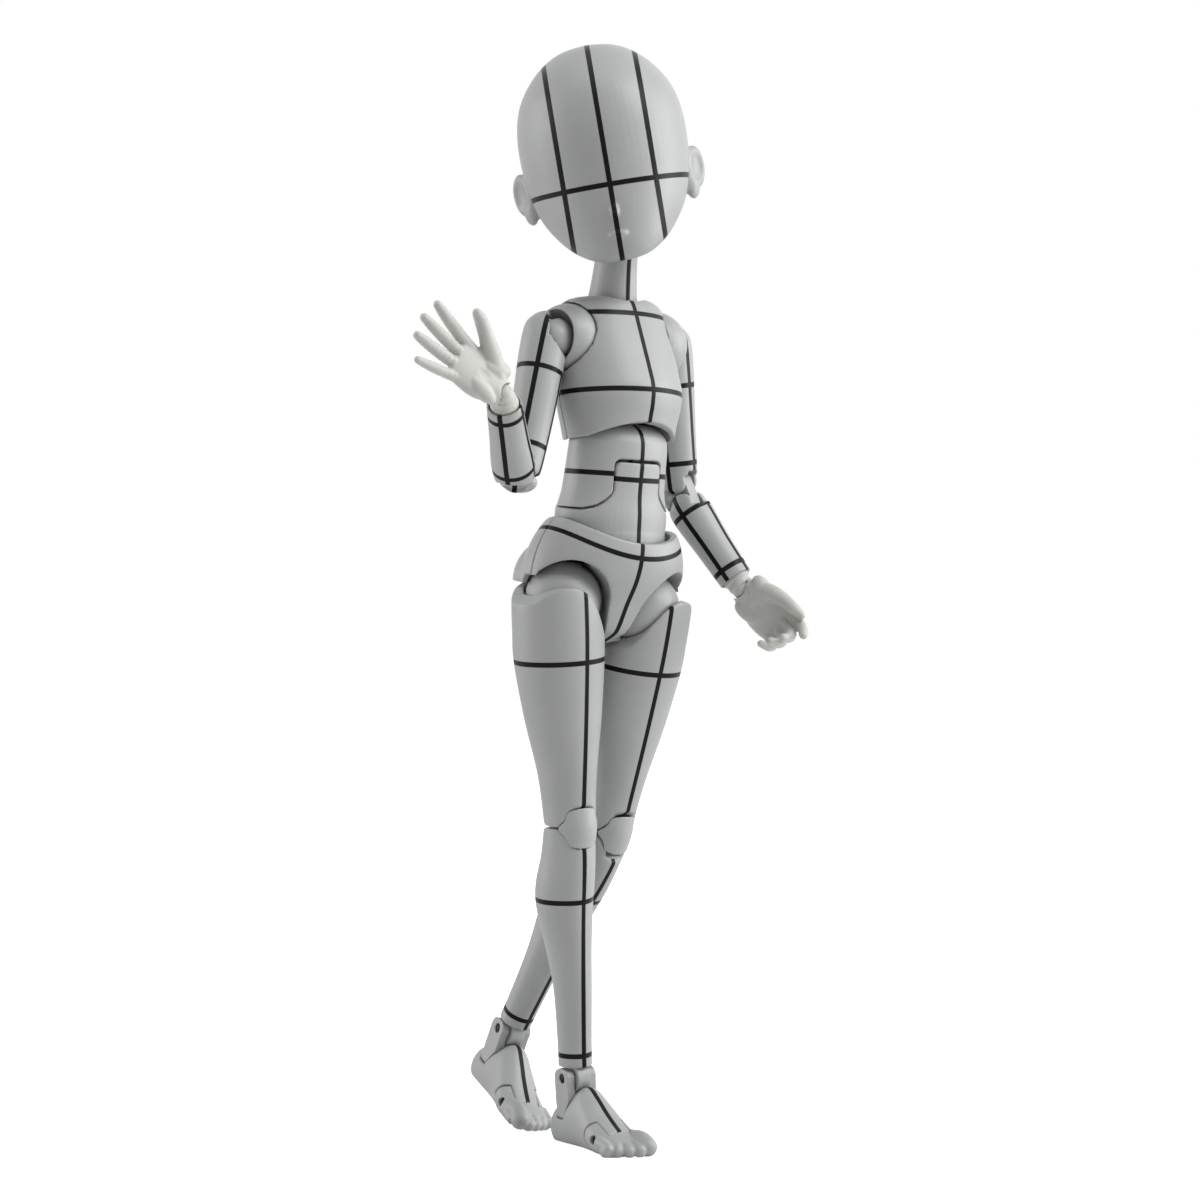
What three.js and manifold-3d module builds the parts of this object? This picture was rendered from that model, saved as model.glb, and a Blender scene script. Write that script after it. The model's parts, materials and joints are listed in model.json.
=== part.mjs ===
// Articulated drawing figure, 135 mm tall: light grey moulded shells on peg, pin and ball joints.
// Millimetres, +Z up. The figure faces -Y, its own left is +X, and it stands on its right sole.
// Every limb piece is modelled for the left side and mirrored for the right.
import * as THREE from 'three';
import { mergeVertices } from 'three/addons/utils/BufferGeometryUtils.js';
import Module from 'manifold-3d';

const wasm = await Module();
wasm.setup();

// Clearances
const seamGap = 0.2; // between two shells of one housing
const bellyGap = 0.5; // between the two abdomen shells
const turnGap = 0.15; // round a tongue, a peg or a ball that turns
const pinGap = 0.12; // round a hinge pin
const bodyGap = 0.4; // between body sections that roll on each other

// Head and neck
const headWidth = 20.4;
const headDepth = 21.8;
const headHeight = 26.6;
const chinDrop = 3.2; // chin below the centre of the head's ball
const headBall = 1.9; // radius
const headPartingY = 1;
const earHeight = 6.4;
const neckLength = 9.2; // centre of the base ball to centre of the head's ball
const neckTopRadius = 2.7;
const neckBaseRadius = 3.3;
const neckBall = 1.7; // radius

// Trunk
const chestWidth = 16.8;
const chestHeight = 16.8;
const chestHang = 1.8; // bottom edge below the chest joint
const neckSeat = 13.8; // height of the neck's base ball above the chest joint
const abdomenWidth = 13.6;
const abdomenDepth = 10.2;
const waistRise = 7.5; // waist joint above the hip axis
const bellyRise = 6.5; // belly hinge above the waist joint
const chestRise = 7.4; // chest joint above the belly hinge
const bellyBarrel = 4.45; // radius of the barrel that the upper abdomen rocks on
const chestDisc = 2.1; // radius of the disc in the chest
const chestDiscWidth = 3.2;
const waistDisc = 2; // radius of the disc in the lower abdomen
const pelvisWidth = 20;
const pelvisDepth = 14;
const crotchDrop = 4.7;
const hipSpacing = 11.8; // between the centres of the two hip joints
const hipRadius = 4.5; // radius of the hip cover
const hipDrop = -0.4; // centre of the hip cover above the hip axis
const legOpening = 4.9; // radius of the round leg opening
const hipDisc = 2; // radius
const hipPeg = 1.1; // radius
const thighX = 0.8; // the thigh's axis lies outside the hip joint

// Arm
const shoulderOutset = 1.3; // centre of the shoulder hinge outside the chest's side
const shoulderRise = 10.1; // shoulder above the chest joint
const shoulderBase = 4.2; // radius of the round base in the armhole
const shoulderBall = 2.1; // radius of the ball in the upper arm
const shoulderLug = 1.3; // radius of the lug inside the ball
const upperArmLength = 16.4; // shoulder hinge to upper elbow pin
const upperArmWidth = 5.5;
const elbowWidth = 4.7;
const elbowSpan = 3; // between the two elbow pins
const forearmLength = 12.4; // lower elbow pin to wrist ball
const forearmWidth = 5.2;
const wristWidth = 4.2;
const wristBall = 1.35; // radius

// Hand
const palmLength = 7;
const palmWidth = 6;
const palmThickness = 2.5;
const fingerLength = 6.6; // the middle finger
const fingerRadius = 0.78;
const thumbLength = 6;

// Leg
const thighLength = 25.7; // hip joint to upper knee pin
const thighWidth = 11.2;
const kneeWidth = 6.2;
const kneeSpan = 4.2; // between the two knee pins
const shinLength = 29; // lower knee pin to ankle pin
const calfWidth = 7.1;
const ankleWidth = 4.2;
const ankleDrop = 3.8; // ankle pin to the centre of the foot's roll joint
const rollHeight = 4.4; // roll joint above the sole

// Foot
const footLength = 17.8;
const footWidth = 6.4;
const heelReach = 4.1; // heel behind the roll joint
const toeHinge = 8.2; // toe hinge in front of the roll joint
const toeHingeHeight = 1.7; // above the sole

// Pins
const kneePin = 0.55; // radius
const elbowPin = 0.45;
const anklePin = 0.5;
const ankleFlange = 1.4; // radius of the collar under the shin
const toePin = 0.4;

// Colours
const greyBody = 0xaeb0ae;
const paleParts = 0xc9c9c4;
const darkSteel = 0x3c3d40;

// Photographed pose, in degrees
const pose = {
  waistTurn: 3.6, sideBend: -3.2, bellyBend: -2.4, chestTurn: -0.2, chestBend: -8.4,
  neckBend: 15.7, neckTilt: -3.5, headTurn: -38.7, headNod: -7, headTilt: -12.3,
  left: {
    swing: 6.4, spread: 2.7, thighTurn: 7.3, kneeUpper: 5.5, kneeLower: 16.3,
    ankleTurn: -14.6, ankleBend: -12.1, ankleTilt: -2.9, toeBend: -5.6,
    shoulderSwing: 16.4, armSwing: 3, armRaise: 10.2, armTurn: 4,
    elbowUpper: -18.3, elbowLower: -14.3, wristTurn: -12.8, wristBend: -16.5, handTwist: 15.6,
  },
  right: {
    swing: -1.2, spread: -10.5, thighTurn: -3.3, kneeUpper: 0.7, kneeLower: 0,
    ankleTurn: 0.2, ankleBend: -3.8, ankleTilt: 3.9, toeBend: 0,
    shoulderSwing: 6.2, armSwing: 1.9, armRaise: 15.9, armTurn: -57.7,
    elbowUpper: -56.9, elbowLower: -60.5, wristTurn: 90, wristBend: 43.2, handTwist: -77.4,
  },
};
const standingYaw = -3.4; // direction of the right foot

const { PI, sin, cos } = Math;
const rad = THREE.MathUtils.degToRad;

// A closed geometry as a solid that can be cut and joined, with its faces turned outwards
function solid(geometry, matrix = new THREE.Matrix4()) {
  const bare = new THREE.BufferGeometry();
  bare.setAttribute('position', geometry.getAttribute('position').clone());
  if (geometry.index) bare.setIndex(geometry.index.clone());
  bare.applyMatrix4(matrix);
  const merged = mergeVertices(bare, 1e-4);
  const place = merged.getAttribute('position').array;
  const corners = merged.index.array;
  const triangles = [];
  for (let i = 0; i < corners.length; i += 3) {
    const [a, b, c] = corners.slice(i, i + 3);
    if (a !== b && b !== c && c !== a) triangles.push([a, b, c]);
  }
  const point = (i) => new THREE.Vector3(...place.slice(3 * i, 3 * i + 3));
  const volume = triangles.reduce((sum, [a, b, c]) => sum + point(a).dot(point(b).cross(point(c))), 0);
  const facing = volume < 0 ? triangles.map(([a, b, c]) => [a, c, b]) : triangles;
  return new wasm.Manifold(new wasm.Mesh({
    numProp: 3,
    vertProperties: new Float32Array(place),
    triVerts: new Uint32Array(facing.flat()),
  }));
}

function asGeometry(shape) {
  const { vertProperties, triVerts } = shape.getMesh();
  const geometry = new THREE.BufferGeometry();
  geometry.setAttribute('position', new THREE.BufferAttribute(vertProperties, 3));
  geometry.setIndex(new THREE.BufferAttribute(triVerts, 1));
  return geometry;
}

const moved = (shape, matrix) => solid(asGeometry(shape), matrix);
const mirrored = (shape) => moved(shape, new THREE.Matrix4().makeScale(-1, 1, 1));
const joined = (...shapes) => shapes.reduce((whole, shape) => whole.add(shape));
const cut = (shape, ...tools) => tools.reduce((left, tool) => left.subtract(tool), shape);

function placeOf([x, y, z], turnX = 0, turnY = 0, turnZ = 0) {
  const turn = new THREE.Euler(rad(turnX), rad(turnY), rad(turnZ), 'ZYX');
  return new THREE.Matrix4().makeRotationFromEuler(turn).setPosition(x, y, z);
}

function block(width, depth, height, centre = [0, 0, 0], turnX = 0, turnY = 0) {
  return solid(new THREE.BoxGeometry(width, depth, height), placeOf(centre, turnX, turnY));
}

function ball(radius, centre = [0, 0, 0], wide = 12, high = 8, stretch = [1, 1, 1], turnX = 0) {
  const geometry = new THREE.SphereGeometry(radius, wide, high).rotateX(PI / 2).scale(...stretch);
  return solid(geometry, placeOf(centre, turnX));
}

// A round bar along x, y or z, centred on a point, tapering to a second radius at its far end
function rod(axis, radius, length, centre = [0, 0, 0], sides = 10, farRadius = radius) {
  const geometry = new THREE.CylinderGeometry(farRadius, radius, length, sides);
  if (axis === 'x') geometry.rotateZ(-PI / 2);
  if (axis === 'z') geometry.rotateX(PI / 2);
  return solid(geometry, placeOf(centre));
}

// A profile of [radius, height] points turned about x, y or z
function turned(axis, profile, centre = [0, 0, 0], sides = 16) {
  const geometry = new THREE.LatheGeometry(profile.map((p) => new THREE.Vector2(...p)), sides);
  if (axis === 'x') geometry.rotateZ(-PI / 2);
  if (axis === 'z') geometry.rotateX(PI / 2);
  return solid(geometry, placeOf(centre));
}

// An outline of [y, z] points carried along x, or of [x, z] points carried along y
function slab(axis, outline, thickness, middle = 0) {
  const shape = new THREE.Shape(outline.map((p) => new THREE.Vector2(...p)));
  const geometry = new THREE.ExtrudeGeometry(shape, { depth: thickness, bevelEnabled: false });
  geometry.translate(0, 0, middle - thickness / 2);
  const [x, y, z] = axis === 'x'
    ? [[0, 1, 0], [0, 0, 1], [1, 0, 0]]
    : [[1, 0, 0], [0, 0, 1], [0, -1, 0]];
  const basis = new THREE.Matrix4().makeBasis(...[x, y, z].map((v) => new THREE.Vector3(...v)));
  return solid(geometry, basis);
}

function arc(centre, radius, from, to, steps) {
  return Array.from({ length: steps + 1 }, (_, i) => {
    const angle = rad(from + ((to - from) * i) / steps);
    return [centre[0] + radius * cos(angle), centre[1] + radius * sin(angle)];
  });
}

// Values between two stations, on a smooth curve through all of them
function smoothRows(stations, between) {
  const rows = [];
  const last = stations.length - 1;
  for (let i = 0; i < last; i++) {
    const [a, b, c, d] = [i - 1, i, i + 1, i + 2].map((k) => stations[Math.min(last, Math.max(0, k))]);
    for (let step = 0; step < between; step++) {
      const t = step / between;
      rows.push(b.map((_, k) => 0.5 * (2 * b[k] + (c[k] - a[k]) * t
        + (2 * a[k] - 5 * b[k] + 4 * c[k] - d[k]) * t * t
        + (3 * b[k] - a[k] - 3 * c[k] + d[k]) * t * t * t)));
    }
  }
  rows.push(stations[last]);
  return rows;
}

// A closed skin over rings of points, each end closed with a fan
function skinned(places, rows, around) {
  const faces = [];
  for (let row = 0; row < rows - 1; row++) {
    for (let i = 0; i < around; i++) {
      const [a, b] = [row * around + i, row * around + ((i + 1) % around)];
      faces.push(a, b, b + around, a, b + around, a + around);
    }
  }
  for (let i = 1; i + 1 < around; i++) {
    const top = (rows - 1) * around;
    faces.push(0, i + 1, i, top, top + i, top + i + 1);
  }
  const geometry = new THREE.BufferGeometry();
  geometry.setAttribute('position', new THREE.Float32BufferAttribute(places, 3));
  geometry.setIndex(faces);
  return solid(geometry);
}

// A body lofted through oval rings. A station is [z, half width, front y, back y, widest y, x].
// ridge narrows the front of the rings, and grow moves the whole surface outwards.
function loft(stations, { around = 16, between = 2, ridge = 0, grow = 0 } = {}) {
  const full = stations.map(([z, half, front, back, widest = (front + back) / 2, x = 0]) =>
    [z, half, front, back, widest, x]);
  const rows = smoothRows(full, between);
  const places = [];
  rows.forEach(([z, half, front, back, widest, x]) => {
    const extra = half > 0 ? grow : 0;
    for (let i = 0; i < around; i++) {
      const angle = (2 * PI * i) / around;
      const reach = sin(angle) < 0 ? widest - front : back - widest;
      const narrow = 1 - ridge * Math.max(0, -sin(angle)) ** 2;
      places.push(x + (half * narrow + extra) * cos(angle), widest + (reach + extra) * sin(angle), z);
    }
  });
  return skinned(places, rows.length, around);
}

// A loft whose stations run forward along -y: [forward, half width, bottom z, top z, widest z, x]
function loftForward(stations, options) {
  return moved(loft(stations, options), new THREE.Matrix4().makeRotationX(PI / 2));
}

// A finger or a toe: one rounded tube through points, thinning from radius to radius
function digit(points, radii, sides = 6) {
  const line = points.map((p) => new THREE.Vector3(...p));
  const last = line.length - 1;
  const after = (i) => line[Math.min(last, i + 1)].clone();
  const before = (i) => line[Math.max(0, i - 1)];
  const way = line.map((_, i) => after(i).sub(before(i)).normalize());
  const rings = [...line.map((_, i) => [i, 0, 1]), [last, 0.8, 0.55]];
  const places = [];
  rings.forEach(([i, along, wide]) => {
    const across = new THREE.Vector3(0, 1, 0).cross(way[i]).normalize();
    const up = way[i].clone().cross(across);
    for (let k = 0; k < sides; k++) {
      const angle = (2 * PI * k) / sides;
      const point = line[i].clone().addScaledVector(way[i], along * radii[i])
        .addScaledVector(across, wide * radii[i] * cos(angle))
        .addScaledVector(up, wide * radii[i] * sin(angle));
      places.push(...point.toArray());
    }
  });
  return skinned(places, rings.length, sides);
}

// Double hinges: two pins carry a tongue between forked limb ends, and a cap closes the outer side
const knee = {
  fold: 1, span: kneeSpan, pin: kneePin, width: kneeWidth, depth: 3.3, axisShift: 0.5,
  tongueHalf: 1.1, tongueRadius: 1.45, capTip: 1.7, capRise: 2.6, backAngle: 26,
};
const elbow = {
  fold: -1, span: elbowSpan, pin: elbowPin, width: elbowWidth, depth: 2.4, axisShift: 0.3,
  tongueHalf: 0.9, tongueRadius: 1.1, capTip: 1, capRise: 1.7, backAngle: 26,
};

// What a limb end loses to its neighbour, in the frame of the middle of the double hinge.
// level is 1 for the limb above and -1 for the limb below.
function limbEndCutter(hinge, level) {
  const half = hinge.span / 2;
  const edge = turnGap / 2;
  const radius = half - edge;
  const back = hinge.depth + 2;
  const outline = [
    [-back, hinge.capRise + 0.2],
    [-hinge.depth, hinge.capRise],
    [-hinge.depth * 0.82, hinge.capRise * 0.84],
    [-(hinge.depth + hinge.capTip) / 2, hinge.capRise * 0.42],
    [-hinge.capTip, edge],
    ...arc([hinge.axisShift, half], radius, -90, hinge.backAngle, 5),
    [back, half + (back - hinge.axisShift) * Math.tan(rad(hinge.backAngle))],
    [back, -back],
    [-back, -back],
  ];
  const slot = turnGap + hinge.tongueRadius;
  const slotWidth = 2 * (hinge.tongueHalf + turnGap);
  const flip = ([y, z]) => [y * hinge.fold, z * level];
  return joined(
    slab('x', outline.map(flip), 4 * hinge.width),
    slab('x', [
      [hinge.axisShift, half + slot], [back, half + slot], [back, -back], [-back, -back],
      [-back, half], [hinge.axisShift, half],
    ].map(flip), slotWidth),
    rod('x', slot, slotWidth, [0, ...flip([hinge.axisShift, half])], 10),
    rod('x', hinge.pin + pinGap, hinge.width - 1.2 + 2 * pinGap, [0, ...flip([hinge.axisShift, half])], 6),
  );
}

// The moving middle of a double hinge: a tongue with two pin bores, and the cap on its outer side
function hingeBlock(hinge, skin) {
  const half = hinge.span / 2;
  const rim = hinge.capRise - seamGap;
  const tip = hinge.capTip + 0.15;
  const lens = [
    [-tip, 0],
    [-(hinge.depth + tip) / 2, hinge.capRise * 0.42 - seamGap * 0.7],
    [-hinge.depth * 0.82, rim * 0.82],
    [-hinge.depth, rim],
    [-hinge.depth - 2, rim],
  ];
  const outline = [...lens, ...lens.slice(1).reverse().map(([y, z]) => [y, -z])];
  const flip = ([y, z]) => [y * hinge.fold, z];
  const cap = skin.intersect(slab('x', outline.map(flip), 4 * hinge.width));
  const width = 2 * hinge.tongueHalf;
  const axis = hinge.axisShift * hinge.fold;
  const reach = hinge.tongueRadius;
  const tongue = joined(
    rod('x', reach, width, [0, axis, half], 10),
    rod('x', reach, width, [0, axis, -half], 10),
    slab('x', [
      [axis - reach, -half], [axis + reach, -half], [axis + reach, half], [axis - reach, half],
    ], width),
    slab('x', [
      [0, 1], [-hinge.depth * 0.7, hinge.capRise * 0.45],
      [-hinge.depth * 0.7, -hinge.capRise * 0.45], [0, -1],
    ].map(flip), width),
  );
  const bore = (z) => rod('x', hinge.pin + pinGap, 2 * hinge.width, [0, axis, z], 6);
  return cut(joined(cap, tongue), bore(half), bore(-half));
}

const hingePin = (hinge) => rod('x', hinge.pin, hinge.width - 1.2, [0, 0, 0], 6);

// Head: an egg shaped skull with a tapered chin, in a front and a back shell that meet at the ears
function headShape() {
  const half = headWidth / 2;
  const front = -headDepth * 0.485;
  const back = headDepth * 0.52;
  const top = headHeight - chinDrop;
  return loft([
    [-chinDrop, 0, -7.2, -7.2, -7.2],
    [-chinDrop + 0.5, half * 0.27, -8.7, -4, -6.6],
    [-1.4, half * 0.49, -9.5, 1, -4],
    [0.6, half * 0.68, -10, 5, -1.5],
    [3, half * 0.84, front * 0.975, 8, 0],
    [6, half * 0.94, front * 0.975, back * 0.9, 0.8],
    [10, half, front * 1.01, back, 1],
    [14, half * 0.99, front, back, 1],
    [18, half * 0.84, front * 0.84, back * 0.86, 0.9],
    [20.8, half * 0.57, front * 0.55, back * 0.6, 0.8],
    [top - 0.4, half * 0.27, front * 0.24, back * 0.3, 0.6],
    [top, 0, 0.5, 0.5, 0.5],
  ], { around: 16, between: 1 });
}

function neckHollow() {
  const socket = headBall + turnGap;
  const mouth = neckTopRadius + 0.8;
  return turned('z', [
    [0, socket], ...arc([0, 0], socket, 70, 0, 3), [mouth, -0.4], [mouth + 0.4, -1.6],
    [mouth + 1.6, -chinDrop - 1], [0, -chinDrop - 1],
  ], [0, 0, 0], 10);
}

function ear() {
  const height = earHeight / 2;
  const lobe = ball(1, [headWidth / 2 - 0.35, headPartingY + 1.7, 6.7], 8, 6, [1.45, 2, height], -8);
  const bowl = ball(1, [headWidth / 2 + 0.85, headPartingY + 1.2, 7.1], 6, 4, [0.8, 1.15, height * 0.62], -8);
  return cut(lobe, bowl);
}

function headShells() {
  const skull = headShape();
  const nose = ball(0.75, [0, -headDepth * 0.478, 2.7], 6, 4, [0.9, 0.7, 1.2], 14);
  const behind = block(40, 40, 60, [0, headPartingY + 20, 0]);
  const ahead = block(40, 40, 60, [0, headPartingY + seamGap / 4 - 20, 0]);
  const hollow = neckHollow();
  return {
    front: cut(joined(skull, nose), block(40, 40, 60, [0, headPartingY - seamGap / 4 + 20, 0]), hollow),
    back: cut(joined(skull.subtract(ahead), joined(ear(), mirrored(ear())).intersect(behind)), ahead, hollow),
  };
}

// Neck: a sleeve between the base joint and the head's joint
const neckUpperBall = 3.4; // the side tilt joint above the base ball

function neckShape() {
  const low = neckBaseRadius;
  const length = neckLength - neckUpperBall;
  const body = loft([
    [0.7 - neckUpperBall, low, -low, low],
    [-1.2, low - 0.35, -low + 0.3, low - 0.3],
    [length * 0.35, (low + neckTopRadius) / 2 - 0.3, -2.9, 2.9],
    [length - 2.2, neckTopRadius - 0.1, -2.6, 2.6],
    [length - 1.4, neckTopRadius - 0.3, -2.4, 2.4],
  ], { around: 12, between: 1 });
  const tiltSocket = ball(neckBall * 0.8 + turnGap, [0, 0, 0], 8, 6);
  const mouth = rod('z', neckBall + 0.9, 2.6, [0, 0, -neckUpperBall + 1.1], 10, neckBall + 0.3);
  const postBore = rod('z', 0.8 + turnGap, 3, [0, 0, length - 2], 8);
  const headSocket = ball(headBall + turnGap, [0, 0, length], 8, 6);
  return cut(body, tiltSocket, mouth, postBore, headSocket);
}

const neckBaseJoint = () => joined(
  ball(neckBall, [0, 0, 0], 8, 6),
  rod('z', 0.8, neckUpperBall, [0, 0, neckUpperBall / 2], 8),
  ball(neckBall * 0.8, [0, 0, neckUpperBall], 8, 6),
);

const headJoint = () => joined(
  ball(headBall, [0, 0, 0], 8, 6),
  rod('z', 0.8, 3.1, [0, 0, -1.7], 8),
);

// Chest: front and back shells with round armholes, a collar for the neck and an open bottom
const chestHalf = chestWidth / 2;
const chestTop = chestHeight - chestHang;
const chestStations = [
  [-chestHang, chestHalf * 0.87, -5.9, 5.6, -0.2],
  [1.4, chestHalf * 0.96, -6.8, 5.7, -0.2],
  [3.6, chestHalf, -7.1, 5.7, -0.2],
  [6, chestHalf * 0.99, -6.4, 5.8, 0],
  [11.4, chestHalf * 0.94, -4.7, 5.5, 0.5],
  [13.2, chestHalf * 0.89, -4.1, 5.1, 0.7],
  [chestTop - 0.6, chestHalf * 0.8, -3.5, 4.6, 0.8],
  [chestTop, chestHalf * 0.64, -2.5, 3.7, 0.8],
];
const shoulderX = chestWidth / 2 + shoulderOutset;
const shoulderBaseX = shoulderX - 3.1;
const shoulderY = 0.8;

function chestShape() {
  const body = loft(chestStations, { around: 16, between: 1 });
  const throat = neckBall + turnGap;
  const collar = turned('z', [
    [0, -3], [1.9, -3], [throat, -1.5], [throat + 0.1, -1], [neckBaseRadius + 1, -0.9],
    [neckBaseRadius + 2, 3], [0, 3],
  ], [0, shoulderY, neckSeat], 12);
  const neckSocket = ball(throat, [0, shoulderY, neckSeat], 8, 6);
  const pocket = shoulderBase + turnGap * 2;
  const armhole = (side) => joined(
    rod('x', pocket, 8, [side * (shoulderBaseX + 4), shoulderY, shoulderRise], 14),
    ball(pocket, [side * shoulderBaseX, shoulderY, shoulderRise], 14, 6),
  );
  const seat = ball(1, [0, 0, -2.9], 14, 6, [abdomenWidth / 2 + 0.25, abdomenDepth / 2 + 0.55, 3.45]);
  const lowerEdge = slab('y', [...arc([0, -18.4], 17.2, 125, 55, 6), [14, -6], [-14, -6]], 40);
  const discSlot = joined(
    rod('x', chestDisc + turnGap, chestDiscWidth + 2 * turnGap, [0, 0, 0], 12),
    block(chestDiscWidth + 2 * turnGap, 2 * chestDisc + 2 * turnGap, 4, [0, 0, -2]),
  );
  return cut(body, collar, neckSocket, armhole(1), armhole(-1), seat, lowerEdge, discSlot);
}

function halves(shape, plane) {
  const front = block(60, 60, 90, [0, plane - 30 - seamGap / 4, 0]);
  const back = block(60, 60, 90, [0, plane + 30 + seamGap / 4, 0]);
  return { front: shape.intersect(front), back: shape.intersect(back) };
}

// Shoulder: a round base swings in the armhole, a lug on a peg turns in it, a ball hinges on the lug
// and the upper arm turns on the ball's stem
const shoulderReach = shoulderX - shoulderBaseX; // centre of the base to the arm's hinge
const shoulderPeg = 0.8; // radius
const shoulderStem = 0.85; // radius
const stemLength = 5.6;

function shoulderBaseShape() {
  const round = ball(shoulderBase, [0, 0, 0], 14, 6);
  const inner = block(10, 20, 20, [-5 - 2, 0, 0]);
  const outer = block(10, 20, 20, [5 + 0.5, 0, 0]);
  const dish = ball(shoulderReach + 0.4, [shoulderReach, 0, 0], 10, 6);
  const bore = rod('x', shoulderPeg + turnGap, 4, [0.2, 0, 0], 8);
  return cut(round, inner, outer, dish, bore);
}

const shoulderDiscShape = () => joined(
  rod('y', shoulderLug, 2 * shoulderPeg, [0, 0, 0], 10),
  rod('x', shoulderPeg, 4, [-2.5, 0, 0], 8),
);

function shoulderBallShape() {
  const slotHalf = shoulderPeg + turnGap;
  const slot = joined(
    rod('y', shoulderLug + turnGap, 2 * slotHalf, [0, 0, 0], 10),
    slab('y', [[slotHalf, 0], [slotHalf, 4], [-4, 4], [-4, -1.6], [-0.2, -slotHalf]], 2 * slotHalf),
  );
  const stem = rod('z', shoulderStem, stemLength - 1.7, [0, 0, -(stemLength + 1.7) / 2], 8);
  return cut(joined(ball(shoulderBall, [0, 0, 0], 10, 6), stem), slot);
}

// Arm stations are measured down from the hinge that carries the piece
function upperArmShape() {
  const half = upperArmWidth / 2;
  const low = elbowWidth / 2;
  const length = upperArmLength + elbowSpan / 2;
  const body = loft([
    [-length - 0.2, low, -low, low, 0, 0],
    [-length / 2, half * 0.94, -half * 0.93, half * 0.93, 0, 0.15],
    [-3.4, half, -half, half, 0, 0.4],
    [0.4, half, -half, half, 0, 0.45],
    [1.8, half * 0.82, -half * 0.84, half * 0.84, 0, 0.4],
    [2.7, half * 0.48, -half * 0.5, half * 0.5, 0, 0.3],
    [3, 0, 0, 0, 0, 0.3],
  ], { around: 12, between: 1 });
  const elbowCut = moved(limbEndCutter(elbow, 1), placeOf([0, 0, -length]));
  const socket = ball(shoulderBall + turnGap, [0, 0, 0], 10, 6);
  const bore = rod('z', shoulderStem + turnGap, stemLength, [0, 0, -stemLength / 2 - turnGap], 8);
  const opening = slab('y', [[1.2, 6], [1.2, -0.4], [0.5, -1.75], [-8, -1.75], [-8, 6]], 14);
  return cut(body, elbowCut, socket, bore, opening);
}

function forearmShape() {
  const half = forearmWidth / 2;
  const low = wristWidth / 2;
  const rise = elbowSpan / 2;
  const end = -forearmLength + 1.4;
  const body = loft([
    [end, low, -low, low],
    [end * 0.55, low * 1.09, -low * 1.06, low * 1.12],
    [-2.4, half * 0.98, -half * 0.96, half],
    [0.4, half, -half * 0.98, half],
    [rise + 0.3, half * 0.94, -half * 0.92, half * 0.94],
  ], { around: 12, between: 1 });
  const elbowCut = moved(limbEndCutter({ ...elbow, width: forearmWidth }, -1), placeOf([0, 0, rise]));
  const bore = rod('z', 0.9 + turnGap, 5, [0, 0, end + 1], 8);
  const cup = rod('z', 1.75 + turnGap, 1.6, [0, 0, end], 12);
  return cut(body, elbowCut, bore, cup);
}

const elbowSkin = () => loft([
  [-elbowSpan, elbowWidth / 2, -elbowWidth / 2, elbowWidth / 2],
  [elbowSpan, elbowWidth / 2, -elbowWidth / 2, elbowWidth / 2],
], { around: 12, between: 1 });

// Wrist: a peg that turns in the forearm, a collar and the ball that the hand holds
const wristShape = () => joined(
  rod('z', 0.9, 3.6, [0, 0, 2.4], 8),
  turned('z', [[0, 1.1], [1.3, 1.1], [1.75, 1.3], [1.75, 1.75], [1.5, 1.9], [0, 1.9]], [0, 0, 0], 10),
  ball(wristBall, [0, 0, 0], 8, 6),
);

// The hand hangs down from the wrist ball with its palm towards -X, its thumb in front
function palmShape(openness) {
  const wide = palmWidth / 2;
  const thick = palmThickness / 2;
  const body = loft([
    [-palmLength - 0.3, thick * 0.62, -wide * 0.8, wide * 0.86],
    [-palmLength + 1.2, thick * 0.86, -wide * 0.92, wide],
    [-palmLength * 0.5, thick, -wide, wide * 0.95],
    [-1.6, thick * 1.04, -wide * 0.72, wide * 0.72],
    [0.2, thick * 1.1, -wide * 0.54, wide * 0.54],
  ], { around: 10, between: 1 });
  const hollow = ball(1, [-thick - openness, 0.2, -palmLength * 0.52], 8, 4, [1, 1.7, 2.3]);
  return body.subtract(hollow);
}

const wristSocket = () => joined(
  ball(wristBall + 1.8 * turnGap, [0, 0, 0], 8, 6),
  rod('z', 1.6, 2, [0, 0, 1.3], 10, 2.3),
);

function openHand() {
  const spread = [-13, -3, 6, 19];
  const lengths = [0.92, 1, 0.95, 0.76];
  const fingers = spread.map((angle, i) => {
    const base = [0, palmWidth * (-0.34 + 0.235 * i), -palmLength + 0.5];
    const length = fingerLength * lengths[i] + 0.6;
    const reach = (share) => [
      base[0] - 0.5 * share * share,
      base[1] + length * share * sin(rad(angle)),
      base[2] - length * share * cos(rad(angle)),
    ];
    const thick = fingerRadius * (i === 3 ? 0.86 : 1);
    return digit([base, reach(0.5), reach(0.9)], [thick, thick * 0.92, thick * 0.74], 5);
  });
  const thumb = digit([
    [-0.2, -1.3, -2], [-0.9, -3, -4.2],
    [-1.2, -4.2, -5.4 - thumbLength * 0.05], [-1.4, -5.4, -thumbLength * 1.3],
  ], [1.25, 1.1, 0.85, 0.6]);
  return cut(joined(palmShape(0.45), ...fingers, thumb), wristSocket());
}

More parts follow.
